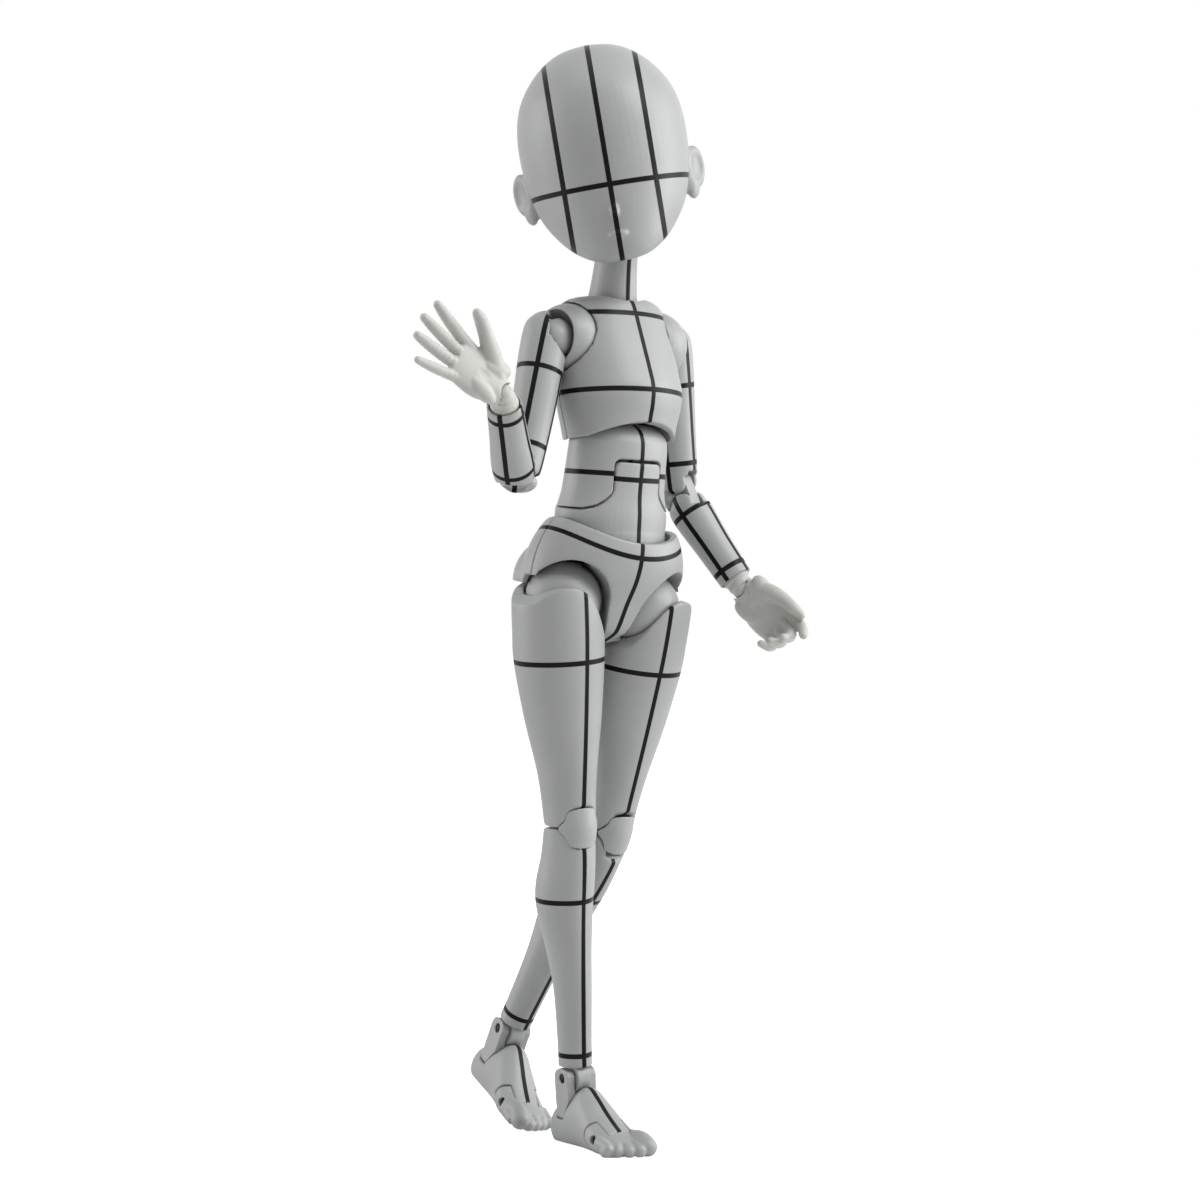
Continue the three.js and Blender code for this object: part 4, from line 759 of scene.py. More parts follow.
def seatForms():
    seats = [ballForm(4.7, (side * 5.2, 3.9, 1.6), (1, 1, 1.1)) for side in (1, -1)]
    return seats + [ballForm(5.5, (side * pelvis["hipX"], 0.1, pelvis["hipZ"])) for side in (1, -1)]


pelvisLines = [middleLine, ringLine(pelvis["ringLine"], pelvis["ringBend"])]
for node, towards in (("pelvis_front", -1), ("pelvis_back", 1)):
    shell = mouldedMesh(pelvisForm(), seatForms(), pelvisCuts(), voxel=pelvis["voxel"], rounds=4,
                        keep=[sideForm(pelvis["parting"] + towards * pelvis["seam"] / 2, towards)])
    finish(node, shell, pelvisPlace, lines=pelvisLines)
print("trunk done")

# Double hinges: fold is 1 where the limb folds backwards, span the distance between its two pins
knee = {
    "fold": 1, "span": 4.2, "width": 6.2, "depth": 3.3, "shift": 0.5, "tongue": 1.1, "reach": 1.45,
    "tip": 1.7, "rise": 2.6, "back": 26, "roll": 0
}
elbow = {
    "fold": -1, "span": 3.0, "width": 4.7, "depth": 2.4, "shift": 0.3, "tongue": 0.95, "reach": 1.1,
    "tip": 1.0, "rise": 1.7, "back": 26, "roll": 1.4
}


# What a double hinge takes out of a limb's end: the cap's outline, the tongue's slot and its roll
def limbEndForms(hinge, level, middleZ):
    half, back, depth, shift = hinge["span"] / 2, hinge["depth"] + 2, hinge["depth"], hinge["shift"]
    outline = [
        (-back, hinge["rise"] + 0.25), (-depth, hinge["rise"] + 0.05),
        (-depth * 0.82, hinge["rise"] * 0.87), (-(depth + hinge["tip"]) / 2, hinge["rise"] * 0.44),
        (-hinge["tip"] + 0.2, 0.1)
    ]
    outline += arc((shift, half), half - 0.075, -90, hinge["back"], 10)
    outline += [
        (back, half + (back - shift) * tan(radians(hinge["back"]))), (back, -back), (-back, -back)
    ]
    slot, wide = play + hinge["reach"], 2 * (hinge["tongue"] + play)

    def flip(spot):
        return (spot[0] * hinge["fold"], spot[1] * level + middleZ)
    channel = [
        (shift, half + slot), (back, half + slot), (back, -back), (-back, -back), (-back, half),
        (shift, half)
    ]
    forms = [
        plateForm("x", [flip(s) for s in outline], 4 * hinge["width"]),
        plateForm("x", [flip(s) for s in channel], wide),
        rodForm("x", slot, wide, (0, *flip((shift, half))))
    ]
    if hinge["roll"]:
        roll = hinge["roll"] + 0.14
        forms.append(
            ballForm(1, (0, *flip((-hinge["roll"], 0))), (hinge["width"] / 2 + 0.1, roll, roll))
        )
    return forms


# The piece between the pins: a cap that shows in front of the joint, with a tongue into each limb's slot
def hingeMiddle(hinge, skin):
    half, rim, tip, depth = hinge["span"] / 2, hinge["rise"] - 0.12, hinge["tip"] - 0.05, hinge["depth"]
    edge = [(-tip, 0), (-(depth + tip) / 2, hinge["rise"] * 0.42 - 0.12), (-depth * 0.82, rim * 0.84),
            (-depth, rim), (-depth - 2, rim)]
    outline = [(y * hinge["fold"], z) for y, z in edge] + [
        (y * hinge["fold"], -z) for y, z in edge[:0:-1]
    ]
    base = carved(skin, keep=[plateForm("x", outline, 4 * hinge["width"])])
    wide, axis, reach = 2 * hinge["tongue"], hinge["shift"] * hinge["fold"], hinge["reach"]
    if hinge["roll"]:
        roll = hinge["roll"]
        base = together(
            base, ballForm(1, (0, -roll * hinge["fold"], 0), (hinge["width"] / 2, roll, roll))
        )
    bridge = [
        (0, 1), (-depth * 0.7, hinge["rise"] * 0.45), (-depth * 0.7, -hinge["rise"] * 0.45), (0, -1)
    ]
    return together(
        base, rodForm("x", reach, wide, (0, axis, half)), rodForm("x", reach, wide, (0, axis, -half)),
        boxForm((wide, 2 * reach, 2 * half), (0, axis, 0)),
        plateForm("x", [(y * hinge["fold"], z) for y, z in bridge], wide)
    )


hip = {"cover": 4.64, "coverZ": -0.4, "coverFoot": -4.5, "coverSocket": 4.86, "disc": 2, "peg": 1.1}
leg = {
    "thigh": 25.7, "shin": 29.0, "thighHalf": 5.6, "kneeHalf": 3.1, "calfHalf": 3.55, "ankleHalf": 2.1,
    "lean": 0.8, "thighRing": -7.6, "shinRings": (-7.0, -26.1)
}
ankle = {"lug": 1.75, "peg": 1.0, "pin": 0.5, "pinLength": 3.9, "pinHole": 0.62, "fork": 4.1}
foot = {
    "length": 17.8, "half": 3.2, "heel": 4.1, "rollHeight": 4.4, "toeHinge": 8.2, "toeZ": -2.7,
    "toeBend": {"left": -5.6, "right": 0}, "pin": 0.46, "pinLength": 5.3, "pinHole": 0.56
}


def thighForm():
    half, low, lean = leg["thighHalf"], leg["kneeHalf"], leg["lean"]
    end = -leg["thigh"] - knee["span"] / 2
    return loftForm([
        (end - 0.3, low, -3.2, 3.15, 0), (end + 3.5, low * 1.06, -3.5, 3.4, 0, lean * 0.15),
        (end + 7, low * 1.18, -3.9, 3.7, 0, lean * 0.3),
        (end * 0.52, half * 0.85, -4.6, 4.5, 0, lean * 0.7), (-7.8, half * 0.99, -5.2, 5.3, 0, lean),
        (-4, half, -5.4, 5.5, 0, lean), (0, half * 0.99, -5.4, 5.5, 0, lean),
        (3, half * 0.94, -5.2, 5.3, 0, lean)
    ], sides=64)


def thighCuts():
    edge = [
        (-12, -5.6), (-5.4, -5.5), (-4.5, -5.2), (-3.6, -4.3), (-2.8, -2.9), (-2, -1.4), (-1.1, -0.1),
        (0, 0.9), (1.2, 1.4), (2.6, 1.5), (3.9, 1.15), (4.9, 0.5), (5.7, -0.3), (12, -0.8)
    ]
    rim = plateForm("y", edge + [(12, 14), (-12, 14)], 40)
    cuts = [
        rim, ballForm(hip["coverSocket"], (0, 0, hip["coverZ"])), rodForm("z", 1.45, 5.4, (0, 0, -5.6))
    ]
    return cuts + limbEndForms(knee, 1, -leg["thigh"] - knee["span"] / 2)


def kneeSkin():
    return loftForm([
        (-5.2, 3.1, -3.1, 3.2, 0.05), (-2.2, 3.12, -3.45, 3.2, 0.05), (0, 3.15, -3.75, 3.2, 0.05),
        (2.2, 3.15, -3.5, 3.2, 0.05), (5.2, 3.2, -3.2, 3.2, 0.05)
    ], sides=48)


def shinForm():
    half, low, end = leg["calfHalf"], leg["ankleHalf"], -leg["shin"] + 1.4
    return loftForm([
        (end, low, -low, low, 0), (end + 3, low * 1.01, -low, low * 1.04, 0.02),
        (-18, low * 1.12, -2.3, 2.7, 0.2), (-13, half * 0.78, -2.5, 3.8, 0.5, 0.2),
        (-8, half * 0.96, -2.8, 4.8, 0.9, 0.4), (-5, half, -3.1, 4.7, 0.8, 0.3),
        (-1.5, half * 0.93, -3.3, 3.7, 0.3, 0.1), (2.4, 3.1, -3.2, 3.15, 0)
    ], sides=64, ridge=0.16)


def lugForm():
    return together(
        rodForm("x", ankle["lug"], 1.7, (0, -0.35, 0)), rodForm("z", ankle["peg"], 6.2, (0, 0, 3.4)),
        rodForm("z", 1.4, 0.9, (0, 0, 1.6))
    )


def forkForm():
    cheek = [
        (-1.4, 0.3), (-1.15, 0.85), (-0.6, 1.18), (0.6, 1.2), (1.35, 0.9), (1.7, 0.3), (1.75, -1.6),
        (1.6, -4.8), (0.1, -5.0), (-0.6, -3.7), (-1.3, -2.6)
    ]
    return together(
        plateForm("x", cheek, ankle["fork"]), rodForm("y", 1.35, 2.6, (0, 0, -3.8)),
        boxForm((2.7, 2.6, 2.6), (0, 0, -3))
    )


def footSkin():
    half, sole, tip = foot["half"], -foot["rollHeight"] - 0.6, foot["length"] - foot["heel"]
    return forwardLoft([
        (-4.15, half * 0.26, -3.6, -1.6), (-3.95, half * 0.42, -4.6, -0.7),
        (-3.4, half * 0.56, sole, -0.1), (-1.6, half * 0.66, sole, 0.9), (0.4, half * 0.72, sole, 1.7),
        (2.6, half * 0.76, sole, 2.8), (4.6, half * 0.82, sole, 1.7), (6.6, half * 0.91, sole, 0.2),
        (8.8, half * 0.97, sole, -1.2), (10.6, half, sole, -2.1), (tip - 1.2, half * 0.94, sole, -2.9)
    ], sides=56)


def soleCut():
    return boxForm((30, 60, 6), (0, 0, -foot["rollHeight"] - 3))


def footCuts():
    hinge, z = -foot["toeHinge"], foot["toeZ"]
    cuts = [
        soleCut(), boxForm((3.1, 3.5, 8), (0, 0.1, 3.4)), rodForm("y", 1.5, 3.5, (0, 0.1, 0)),
        boxForm((3.0, 3.5, 2.8), (0, 0.1, 1.2))
    ]
    cuts.append(boxForm((8, 7.4, 8), (0, 2.75, 5.35)))
    for side in (1, -1):
        pocket = [
            (-1.7, 1.5), (-0.85, 0.2), (-0.1, -1.4), (1.8, -1.4), (1.95, 0.2), (2.0, 3), (-1.7, 3)
        ]
        cuts.append(plateForm("x", pocket, 2.0, side * 2.4))
    cuts.append(plateForm("x", [(-1.55, 1.4), (1.9, 1.4), (6, 1.4), (6, 8), (-2.1, 8)], 8))
    for side in (1, -1):
        cuts.append(boxForm((8, 20, 20), (side * 5.62, hinge - 10, 0)))
        cuts.append(rodForm("x", 2.27, 8, (side * 5.62, hinge, z)))
    cuts.append(
        plateForm("x", [
            (hinge - 1, 6), (hinge - 1.4, -0.6), *arc((hinge, z), 1.7, 130, 270, 8), (hinge, -8),
            (-24, -8), (-24, 6)
        ], 4.1)
    )
    return cuts


def toesForm():
    half, hinge, z = foot["half"], -foot["toeHinge"], foot["toeZ"]
    tip, sole = foot["length"] - foot["heel"], -foot["rollHeight"]
    radii = (1.18, 0.84, 0.8, 0.76, 0.72)
    reaches = (0.0, 0.1, 0.6, 1.3, 2.2)
    toes = []
    for i in range(5):
        x = -half * 0.66 + i * half * 0.38
        r, tipY = radii[i], -(tip - reaches[i])
        toes.append(
            fingerForm([
                (x * 0.92, hinge - 1.2, z - 0.2), (x * 0.97, hinge - 3.1, sole + r * 1.55),
                (x, tipY + r * 0.95, sole + r * 0.92)
            ], [r * 1.12, r * 0.86, r], 5)
        )
    return toes


def toesBase():
    hinge, z = -foot["toeHinge"], foot["toeZ"]
    front = carved(footSkin(), keep=[boxForm((20, 3.4, 20), (0, hinge - 1.7, 0))])
    return together(front, carved(footSkin(), keep=[rodForm("x", 2.15, 20, (0, hinge, z))]))


def toesCuts():
    hinge, z = -foot["toeHinge"], foot["toeZ"]
    tongue = plateForm("x", [
        (hinge + 4, 8), (hinge - 1.1, 8), (hinge - 1.5, -0.6), *arc((hinge, z), 1.82, 130, 270, 8),
        (hinge + 4, -8)
    ], 3.3)
    return [soleCut(), tongue, rodForm("x", foot["pinHole"], 9, (0, hinge, z))]


for side, sign in (("left", 1), ("right", -1)):
    name = side + "_"
    hipSpot, kneeTop, kneeLow = (
        jointPoint(name + joint) for joint in ("hip_swing", "knee_upper", "knee_lower")
    )
    ankleSpot, roll = jointPoint(name + "ankle_bend"), jointPoint(name + "foot_roll")
    hipAcross, kneeAcross = jointAxis(name + "hip_swing"), jointAxis(name + "knee_upper")
    thighUp = jointAxis(name + "thigh_turn", hipSpot - kneeTop)
    coverCuts = [
        boxForm((20, 20, 6), (0, 0, hip["coverFoot"] - 3)), rodForm("y", hip["disc"] + play, 2.9),
        plateForm("x", [(0, -2), (0, 2), (9, 2), (9, -2)], 2.9)
    ]
    cover = mouldedMesh(
        ballForm(hip["cover"], (0, 0, hip["coverZ"])), [], coverCuts, voxel=0.13, rounds=4
    )
    finish(name + "hip_cover", cover, placeOf(hipSpot, thighUp, hipAcross), sign)
    disc = discOnPeg("y", hip["disc"], 2.6, "x", hip["peg"], 5.6, (-3, 0, 0))
    finish(name + "hip_joint", mouldedMesh(disc, voxel=0.1, rounds=3),
           placeOf(hipSpot, pelvisPlace.to_3x3().col[2], hipAcross), sign, pomJoint)
    finish(name + "thigh", mouldedMesh(thighForm(), [], thighCuts(), voxel=0.15, rounds=5),
           placeOf(hipSpot, thighUp, kneeAcross), sign, lines=[middleLine, ringLine(leg["thighRing"])])
    kneePlace = shifted(
        placeOf((kneeTop + kneeLow) / 2, kneeTop - kneeLow, kneeAcross), y=-knee["shift"]
    )
    finish(
        name + "kneecap", mouldedMesh(hingeMiddle(knee, kneeSkin()), voxel=0.11, rounds=5), kneePlace,
        sign
    )

    shinUp = jointAxis(name + "ankle_turn", kneeLow - ankleSpot)
    shinPlace = shifted(placeOf(kneeLow, shinUp, jointAxis(name + "knee_lower")), y=-knee["shift"])
    shinCuts = limbEndForms(knee, -1, knee["span"] / 2)
    shinCuts += [rodForm("z", ankle["peg"] + play, 8, (0, 0, -leg["shin"] + 2.9)),
                 rodForm("z", 1.75, 1.8, (0, 0, -leg["shin"] + 1.4))]
    finish(
        name + "shin", mouldedMesh(shinForm(), [], shinCuts, voxel=0.14, rounds=5), shinPlace, sign,
        lines=[guideLine(sideways, within=[(downwards, 0.2)]), *(ringLine(z) for z in leg["shinRings"])]
    )
    ankleAcross = jointAxis(name + "ankle_bend")
    finish(
        name + "ankle_lug", mouldedMesh(lugForm(), voxel=0.08, rounds=3),
        placeOf(ankleSpot, shinUp, ankleAcross), sign
    )
    forkPlace = placeOf(ankleSpot, ankleSpot - roll, ankleAcross)
    forkCuts = [plateForm("x", arc((0, -0.35), 2.05, 200, 340, 10) + [(4, 4), (-4, 4)], 2.0),
                rodForm("x", ankle["pinHole"], 8), boxForm((2.6, 8, 3), (0, 0, -6.3))]
    fork = mouldedMesh(forkForm(), [], forkCuts, voxel=0.08, rounds=3, fuse=True)
    finish(name + "ankle_fork", fork, forkPlace, sign)
    finish(
        name + "ankle_pin", mouldedMesh(rodForm("x", ankle["pin"], ankle["pinLength"])), forkPlace,
        sign, material=blackenedSteel
    )

    toeAcross = jointAxis(name + "toe_bend")
    footPlace = placeOf(roll, toeAcross.cross(jointAxis(name + "foot_roll", backwards)), toeAcross)
    footLine = guideLine(sideways, within=[(forwards, 1.0), (upwards, -2.4)])
    finish(
        name + "foot", mouldedMesh(footSkin(), [], footCuts(), voxel=0.11, rounds=4), footPlace, sign,
        lines=[footLine]
    )
    hingeSpot = (0, -foot["toeHinge"], foot["toeZ"])
    toesPlace = turned(shifted(footPlace, *hingeSpot), "X", foot["toeBend"][side])
    toesPlace = shifted(toesPlace, *(-value for value in hingeSpot))
    toes = mouldedMesh(
        together(toesBase(), *toesForm()), [], toesCuts(), voxel=0.1, rounds=4, fuse=True
    )
    finish(name + "toes", toes, toesPlace, sign)
    finish(
        name + "toe_pin", mouldedMesh(rodForm("x", foot["pin"], foot["pinLength"], hingeSpot)),
        footPlace, sign, material=blackenedSteel
    )
print("legs done")

arm = {
    "upper": 16.4, "fore": 12.4, "upperHalf": 2.82, "elbowHalf": 2.35, "foreHalf": 2.6,
    "wristHalf": 2.1, "upperRings": (-4.6, -14.1), "foreRings": (-9.6, -1.2), "ball": 2.5, "ballX": -0.6
}
shoulder = {"base": 4.2, "dish": 3.4, "dishX": 3.1, "disc": 1.3, "discPeg": 0.8, "stem": 0.85}
wrist = {"ball": 1.35, "peg": 0.9, "collar": 1.7, "socket": 1.62}
hand = {
    "left": {"bend": -16.6, "twist": 16.0}, "right": {"bend": 43.2, "twist": -77.4},
    "length": 7.0, "half": 3.0, "thick": 1.25, "finger": 6.6, "fingerRadius": 0.78,
    "spacing": 0.235, "firstFinger": -0.34, "shares": (0.92, 1, 0.95, 0.76), "spread": (-13, -3, 6, 19),
    "curl": (26, 44, 52, 60)
}


def upperArmForm():
    half, low, end = arm["upperHalf"], arm["elbowHalf"], -arm["upper"] - elbow["span"] / 2
    return loftForm([
        (end - 0.2, low * 0.6, -low * 0.62, low * 0.7, 0),
        (end + 0.4, low * 0.8, -low * 0.82, low * 0.88, 0), (end + 1.5, low * 0.98, -low, low, 0),
        (end / 2, half * 0.94, -half * 0.93, half * 0.93, 0, 0.15), (-3.4, half, -half, half, 0, 0.4),
        (0.4, half, -half, half, 0, 0.45), (1.8, half * 0.82, -half * 0.84, half * 0.84, 0, 0.4),
        (2.7, half * 0.48, -half * 0.5, half * 0.5, 0, 0.3), (3, 0, 0, 0, 0, 0.3)
    ], sides=48)


def upperArmCuts():
    opening = [
        (0.4, 6), (0.4, 2.3), (-0.2, 1.2), (-1.1, -0.4), (-2, -1.9), (-3, -3.0), (-8, -3.2), (-8, 6)
    ]
    cuts = [
        ballForm(arm["ball"] + 0.08, (arm["ballX"], 0, 0)),
        rodForm("z", shoulder["stem"] + play, 5.6, (0, 0, -3)), plateForm("y", opening, 14)
    ]
    return cuts + limbEndForms(elbow, 1, -arm["upper"] - elbow["span"] / 2)


def elbowSkin():
    return loftForm([(-3, 1.9, -2.35, 2.1, 0), (-1.4, 2.3, -2.35, 2.5, 0), (0, 2.4, -2.35, 2.65, 0),
                     (1.4, 2.3, -2.35, 2.5, 0), (3, 2.1, -2.35, 2.1, 0)], sides=40)


def forearmForm():
    half, low, end = arm["foreHalf"], arm["wristHalf"], -arm["fore"] + 1.4
    return loftForm([
        (end, low, -low, low), (end * 0.55, low * 1.09, -low * 1.06, low * 1.12),
        (-2.4, half * 0.98, -half * 0.96, half), (-0.4, half * 0.97, -half * 0.97, half),
        (0.6, half * 0.89, -half * 0.9, half * 0.94), (1.5, half * 0.7, -half * 0.74, half * 0.8),
        (1.9, half * 0.55, -half * 0.6, half * 0.66)
    ], sides=48)


def palmForm(openness):
    wide, thick, long = hand["half"], hand["thick"], hand["length"]
    body = loftForm([
        (-long - 0.3, thick * 0.6, -wide * 0.8, wide * 0.86),
        (-long + 1.2, thick * 0.84, -wide * 0.94, wide), (-long * 0.5, thick, -wide, wide * 0.97),
        (-1.6, thick * 1.04, -wide * 0.74, wide * 0.74), (0.2, thick * 1.15, -wide * 0.54, wide * 0.54),
        (0.9, thick * 1.12, -wide * 0.5, wide * 0.5)
    ])
    mound = ballForm(1, (-0.5, -1.7, -2.6), (1.15, 1.25, 2.1), 25)
    heel = ballForm(1, (-0.45, 1.55, -2.9), (0.95, 1.1, 2.3), -8)
    hollow = ballForm(1, (-thick - openness - 0.5, 0.25, -long * 0.56), (1.1, 1.5, 2.2))
    return together(body, mound, heel), hollow


# Where a finger leaves the palm, its length and its radius; the fourth is the thin one
def fingerRoot(i):
    across = 2 * hand["half"] * (hand["firstFinger"] + hand["spacing"] * i)
    return across, hand["finger"] * hand["shares"][i], hand["fingerRadius"]


def openHand():
    body, hollow = palmForm(0.45)
    fingers = []
    for i, angle in enumerate(hand["spread"]):
        y, long, radius = fingerRoot(i)
        long += 0.9
        r = radius * (0.86 if i == 3 else 1)
        spots = [
            (
                -0.5 * t * t, y + long * t * sin(radians(angle)),
                0.9 - hand["length"] - long * t * cos(radians(angle))
            )
            for t in (0, 0.3, 0.55, 0.78, 0.95)
        ]
        fingers.append(fingerForm(spots, [r * 1.05, r * 1.0, r * 0.97, r * 0.86, r * 0.68], 3))
    thumb = fingerForm([(-0.2, -1.3, -2), (-0.8, -2.7, -3.9), (-1.15, -3.9, -5.6), (-1.35, -4.9, -7.0),
                        (-1.45, -5.5, -8.2)], [1.3, 1.2, 0.92, 0.85, 0.58])
    return together(body, *fingers, thumb), hollow


def relaxedHand():
    body, hollow = palmForm(0.35)
    fingers = []
    for i, curl in enumerate(hand["curl"]):
        y, long, radius = fingerRoot(i)
        spots = [(0, y, 0.7 - hand["length"])]
        for k, part in enumerate((0.42, 0.32, 0.24)):
            bend = radians(curl * (0.55 + 0.75 * k))
            x, y, z = spots[-1]
            spots.append((x - long * part * sin(bend), y, z - long * part * cos(bend)))
        r = radius * (0.86 if i == 3 else 0.97)
        fingers.append(fingerForm(spots, [r * 1.05, r, r * 0.88, r * 0.7]))
    thumb = fingerForm([(-0.2, -1.2, -1.8), (-0.8, -2.4, -4), (-1.2, -3.0, -6.0), (-1.45, -3.15, -7.6),
                        (-1.5, -3.2, -9)], [1.35, 1.15, 0.9, 0.8, 0.52])
    return together(body, *fingers, thumb), hollow


for side, sign in (("left", 1), ("right", -1)):
    name = side + "_"
    shoulderSpot, wristSpot = jointPoint(name + "arm_swing"), jointPoint(name + "wrist_turn")
    elbowTop, elbowLow = jointPoint(name + "elbow_upper"), jointPoint(name + "elbow_lower")
    swingAcross, raiseAxis = jointAxis(name + "arm_swing"), jointAxis(name + "arm_raise", backwards)
    basePlace = placeOf(
        jointPoint(name + "shoulder_swing"), jointAxis(name + "shoulder_swing", upwards), swingAcross
    )
    baseCuts = [
        boxForm((10, 20, 20), (-7, 0, 0)), ballForm(shoulder["dish"], (shoulder["dishX"], 0, 0)),
        boxForm((4, 20, 20), (4.4, 0, 0)), rodForm("x", shoulder["discPeg"] + play, 4, (0.2, 0, 0))
    ]
    base = mouldedMesh(ballForm(shoulder["base"]), [], baseCuts, voxel=0.11, rounds=4)
    finish(name + "shoulder_base", base, basePlace, sign)
    disc = discOnPeg("y", shoulder["disc"], 1.6, "x", shoulder["discPeg"], 4, (-2.5, 0, 0))
    finish(name + "shoulder_disc", mouldedMesh(disc, voxel=0.09, rounds=3),
           placeOf(shoulderSpot, raiseAxis.cross(-swingAcross), swingAcross), sign, pomJoint)
    armUp = jointAxis(name + "arm_turn", shoulderSpot - elbowTop)
    ballCuts = [rodForm("y", shoulder["disc"] + play, 1.9),
                plateForm("y", [(0.95, 0), (0.95, 4), (-4, 4), (-4, -1.6), (-0.2, -0.95)], 1.9)]
    ballBase = together(
        ballForm(arm["ball"], (arm["ballX"], 0, 0)), rodForm("z", shoulder["stem"], 5.6, (0, 0, -3))
    )
    ball = mouldedMesh(ballBase, [], ballCuts, voxel=0.09, rounds=4, fuse=True)
    finish(
        name + "shoulder_ball", ball, placeOf(shoulderSpot, armUp, armUp.cross(raiseAxis) * -1), sign
    )

    elbowAcross = jointAxis(name + "elbow_upper")
    armLines = [
        middleLine, guideLine(backwards, within=[(downwards, 4.6)]),
        *(ringLine(z) for z in arm["upperRings"])
    ]
    finish(name + "upper_arm", mouldedMesh(upperArmForm(), [], upperArmCuts(), voxel=0.12, rounds=4),
           placeOf(shoulderSpot, armUp, elbowAcross), sign, lines=armLines)
    elbowPlace = shifted(
        placeOf((elbowTop + elbowLow) / 2, elbowTop - elbowLow, elbowAcross), y=elbow["shift"]
    )
    block = mouldedMesh(hingeMiddle(elbow, elbowSkin()), voxel=0.09, rounds=5, fuse=True)
    finish(
        name + "elbow_block", block, elbowPlace, sign,
        lines=[guideLine(sideways, within=[(backwards, 1.0)])]
    )
    wristUp = jointAxis(name + "wrist_turn", elbowLow - wristSpot)
    forePlace = shifted(placeOf(elbowLow, wristUp, jointAxis(name + "elbow_lower")), y=elbow["shift"])
    foreCuts = limbEndForms({**elbow, "width": 5.2}, -1, elbow["span"] / 2)
    foreCuts += [rodForm("z", wrist["peg"] + play, 5, (0, 0, -arm["fore"] + 2.4)),
                 rodForm("z", wrist["collar"] + play, 1.6, (0, 0, -arm["fore"] + 1.4))]
    finish(
        name + "forearm", mouldedMesh(forearmForm(), [], foreCuts, voxel=0.12, rounds=4), forePlace,
        sign, lines=[middleLine, sideLine, *(ringLine(z) for z in arm["foreRings"])]
    )

    wristPlace = placeOf(
        wristSpot, wristUp, jointAxis(name + "wrist_bend", (1, 0, 0) if sign > 0 else (-1, -0.7, -1))
    )
    pegBall = together(
        rodForm("z", wrist["peg"], 3.6, (0, 0, 2.4)), rodForm("z", wrist["collar"], 0.75, (0, 0, 1.45)),
        rodForm("z", 1.5, 1.5, (0, 0, 1.0)), ballForm(wrist["ball"])
    )
    finish(name + "wrist_ball", mouldedMesh(pegBall, voxel=0.08, rounds=3), wristPlace, sign, pvcSkin)
    handBase, hollow = relaxedHand() if side == "left" else openHand()
    handCuts = [hollow, ballForm(wrist["socket"]), rodForm("z", 1.6, 2, (0, 0, 1.3), 2.3)]
    finish(name + "hand", mouldedMesh(handBase, [], handCuts, voxel=0.09, rounds=5, fuse=True),
           turned(turned(wristPlace, "X", hand[side]["bend"]), "Z", hand[side]["twist"]), sign, pvcSkin)
print("arms done")

for node in ("knee_upper_pin", "knee_lower_pin", "elbow_upper_pin", "elbow_lower_pin"):
    for side in ("left_", "right_"):
        slots = frame["nodes"][side + node].data.materials
        slots.clear()
        slots.append(blackenedSteel)

floorPaper = {"half": 1.5, "dark": "f0f0ef", "light": "f6f6f5", "fibreMm": 1.11, "seenLift": 0.8}
ambient = 0.24
lampTarget = Vector((0, 0, 0.07))  # about half way up the figure, metres
# Softboxes: azimuth and elevation from the object, distance m, size m, watts
softboxes = {
    "key": (32, 46, 0.75, 0.4, 2.9), "top": (-60, 80, 0.7, 0.6, 1.5),
    "rim_left": (-130, 10, 0.7, 0.5, 2.3), "rim_right": (62, 12, 0.7, 0.5, 3.3)
}
view = {
    "azimuth": -35.0, "elevation": 1.80, "distance": 502.8, "lens": 124.94, "aim": (-0.56, -2.85, 66.0),
    "shift": (0.01053, 0.00204)
}


def wayFrom(azimuth, elevation):
    a, e = radians(azimuth), radians(elevation)
    return Vector((sin(a) * cos(e), -cos(a) * cos(e), sin(e)))


# Plain white paper: a matt, slightly fibrous sheet that the camera sees as white while it keeps the shadow
def addFloor():
    bm = bmesh.new()
    bmesh.ops.create_grid(bm, x_segments=2, y_segments=2, size=floorPaper["half"])
    mesh = bpy.data.meshes.new("floor")
    bm.to_mesh(mesh)
    bm.free()
    floor = bpy.data.objects.new("floor", mesh)
    bpy.context.scene.collection.objects.link(floor)
    material = bpy.data.materials.new("matt_white_paper_floor")
    material.use_nodes = True
    tree = material.node_tree
    tree.nodes.clear()
    fibres = addNode(tree, "TexNoise", {
        "Vector": addNode(tree, "TexCoord").outputs["Object"],
        "Scale": 1 / (floorPaper["fibreMm"] * metresPerMm), "Detail": 3.0
    }).outputs[0]
    paper = addNode(tree, "Mix", {
        0: fibres, 6: linear(floorPaper["dark"]), 7: linear(floorPaper["light"])
    }, data_type="RGBA").outputs[2]
    matt = addNode(tree, "BsdfDiffuse", {"Color": paper}).outputs[0]
    seen = addNode(tree, "LightPath").outputs["Is Camera Ray"]
    strength = addNode(
        tree, "Math", {0: seen, 1: floorPaper["seenLift"]}, operation="MULTIPLY"
    ).outputs[0]
    lift = addNode(tree, "Emission", {"Color": (1, 1, 1, 1), "Strength": strength}).outputs[0]
    both = addNode(tree, "AddShader", {0: matt, 1: lift}).outputs[0]
    addNode(tree, "OutputMaterial", {"Surface": both})
    mesh.materials.append(material)


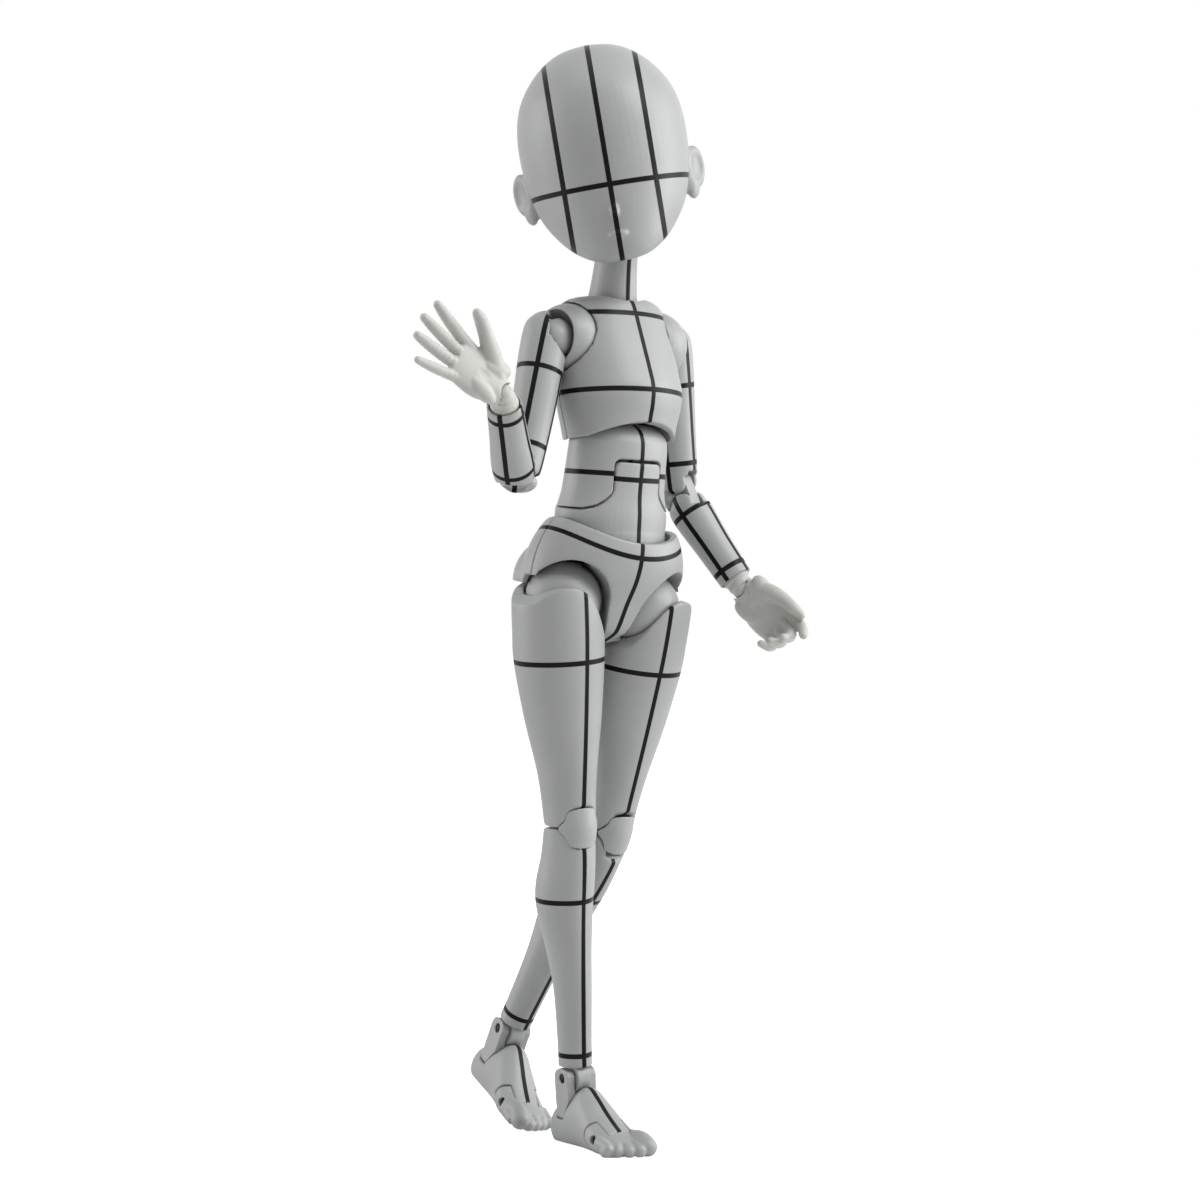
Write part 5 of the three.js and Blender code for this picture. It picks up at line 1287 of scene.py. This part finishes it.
# The world lights the object softly, and what is seen or mirrored of it is plain white
def addWorld():
    world = bpy.data.worlds.new("white_studio")
    bpy.context.scene.world = world
    world.use_nodes = True
    tree = world.node_tree
    tree.nodes.clear()
    path = addNode(tree, "LightPath").outputs
    mirrored = addNode(
        tree, "Math", {0: path["Is Glossy Ray"], 1: path["Is Transmission Ray"]}, operation="MAXIMUM"
    ).outputs[0]
    seen = addNode(
        tree, "Math", {0: path["Is Camera Ray"], 1: mirrored}, operation="MAXIMUM"
    ).outputs[0]
    strength = addNode(
        tree, "Math", {0: seen, 1: 1 - ambient, 2: ambient}, operation="MULTIPLY_ADD"
    ).outputs[0]
    back = addNode(tree, "Background", {"Color": (1, 1, 1, 1), "Strength": strength}).outputs[0]
    addNode(tree, "OutputWorld", {"Surface": back})


def addLights():
    for label, (azimuth, elevation, distance, size, watts) in softboxes.items():
        light = bpy.data.lights.new(label, "AREA")
        light.shape, light.size, light.energy = "SQUARE", size, watts
        lamp = bpy.data.objects.new(label, light)
        way = wayFrom(azimuth, elevation)
        lamp.location = lampTarget + way * distance
        lamp.rotation_euler = way.to_track_quat("Z", "Y").to_euler()
        bpy.context.scene.collection.objects.link(lamp)


def addCamera():
    settings = bpy.data.cameras.new("photo_camera")
    settings.lens, settings.sensor_width, settings.clip_start = view["lens"], 36, 0.01
    settings.shift_x, settings.shift_y = view["shift"]
    camera = bpy.data.objects.new("photo_camera", settings)
    way = wayFrom(view["azimuth"], view["elevation"])
    camera.location = (Vector(view["aim"]) + way * view["distance"]) * metresPerMm
    camera.rotation_euler = way.to_track_quat("Z", "Y").to_euler()
    bpy.context.scene.collection.objects.link(camera)
    bpy.context.scene.camera = camera


addFloor()
addWorld()
addLights()
addCamera()
bpy.context.scene.view_settings.view_transform = "Standard"
print("stage, light and camera done")

skins = [obj.data for obj in bpy.data.objects if obj.type == "MESH" and obj.name.endswith("_skin")]
print(
    "triangles in the new pieces:",
    sum(len(face.vertices) - 2 for skin in skins for face in skin.polygons)
)
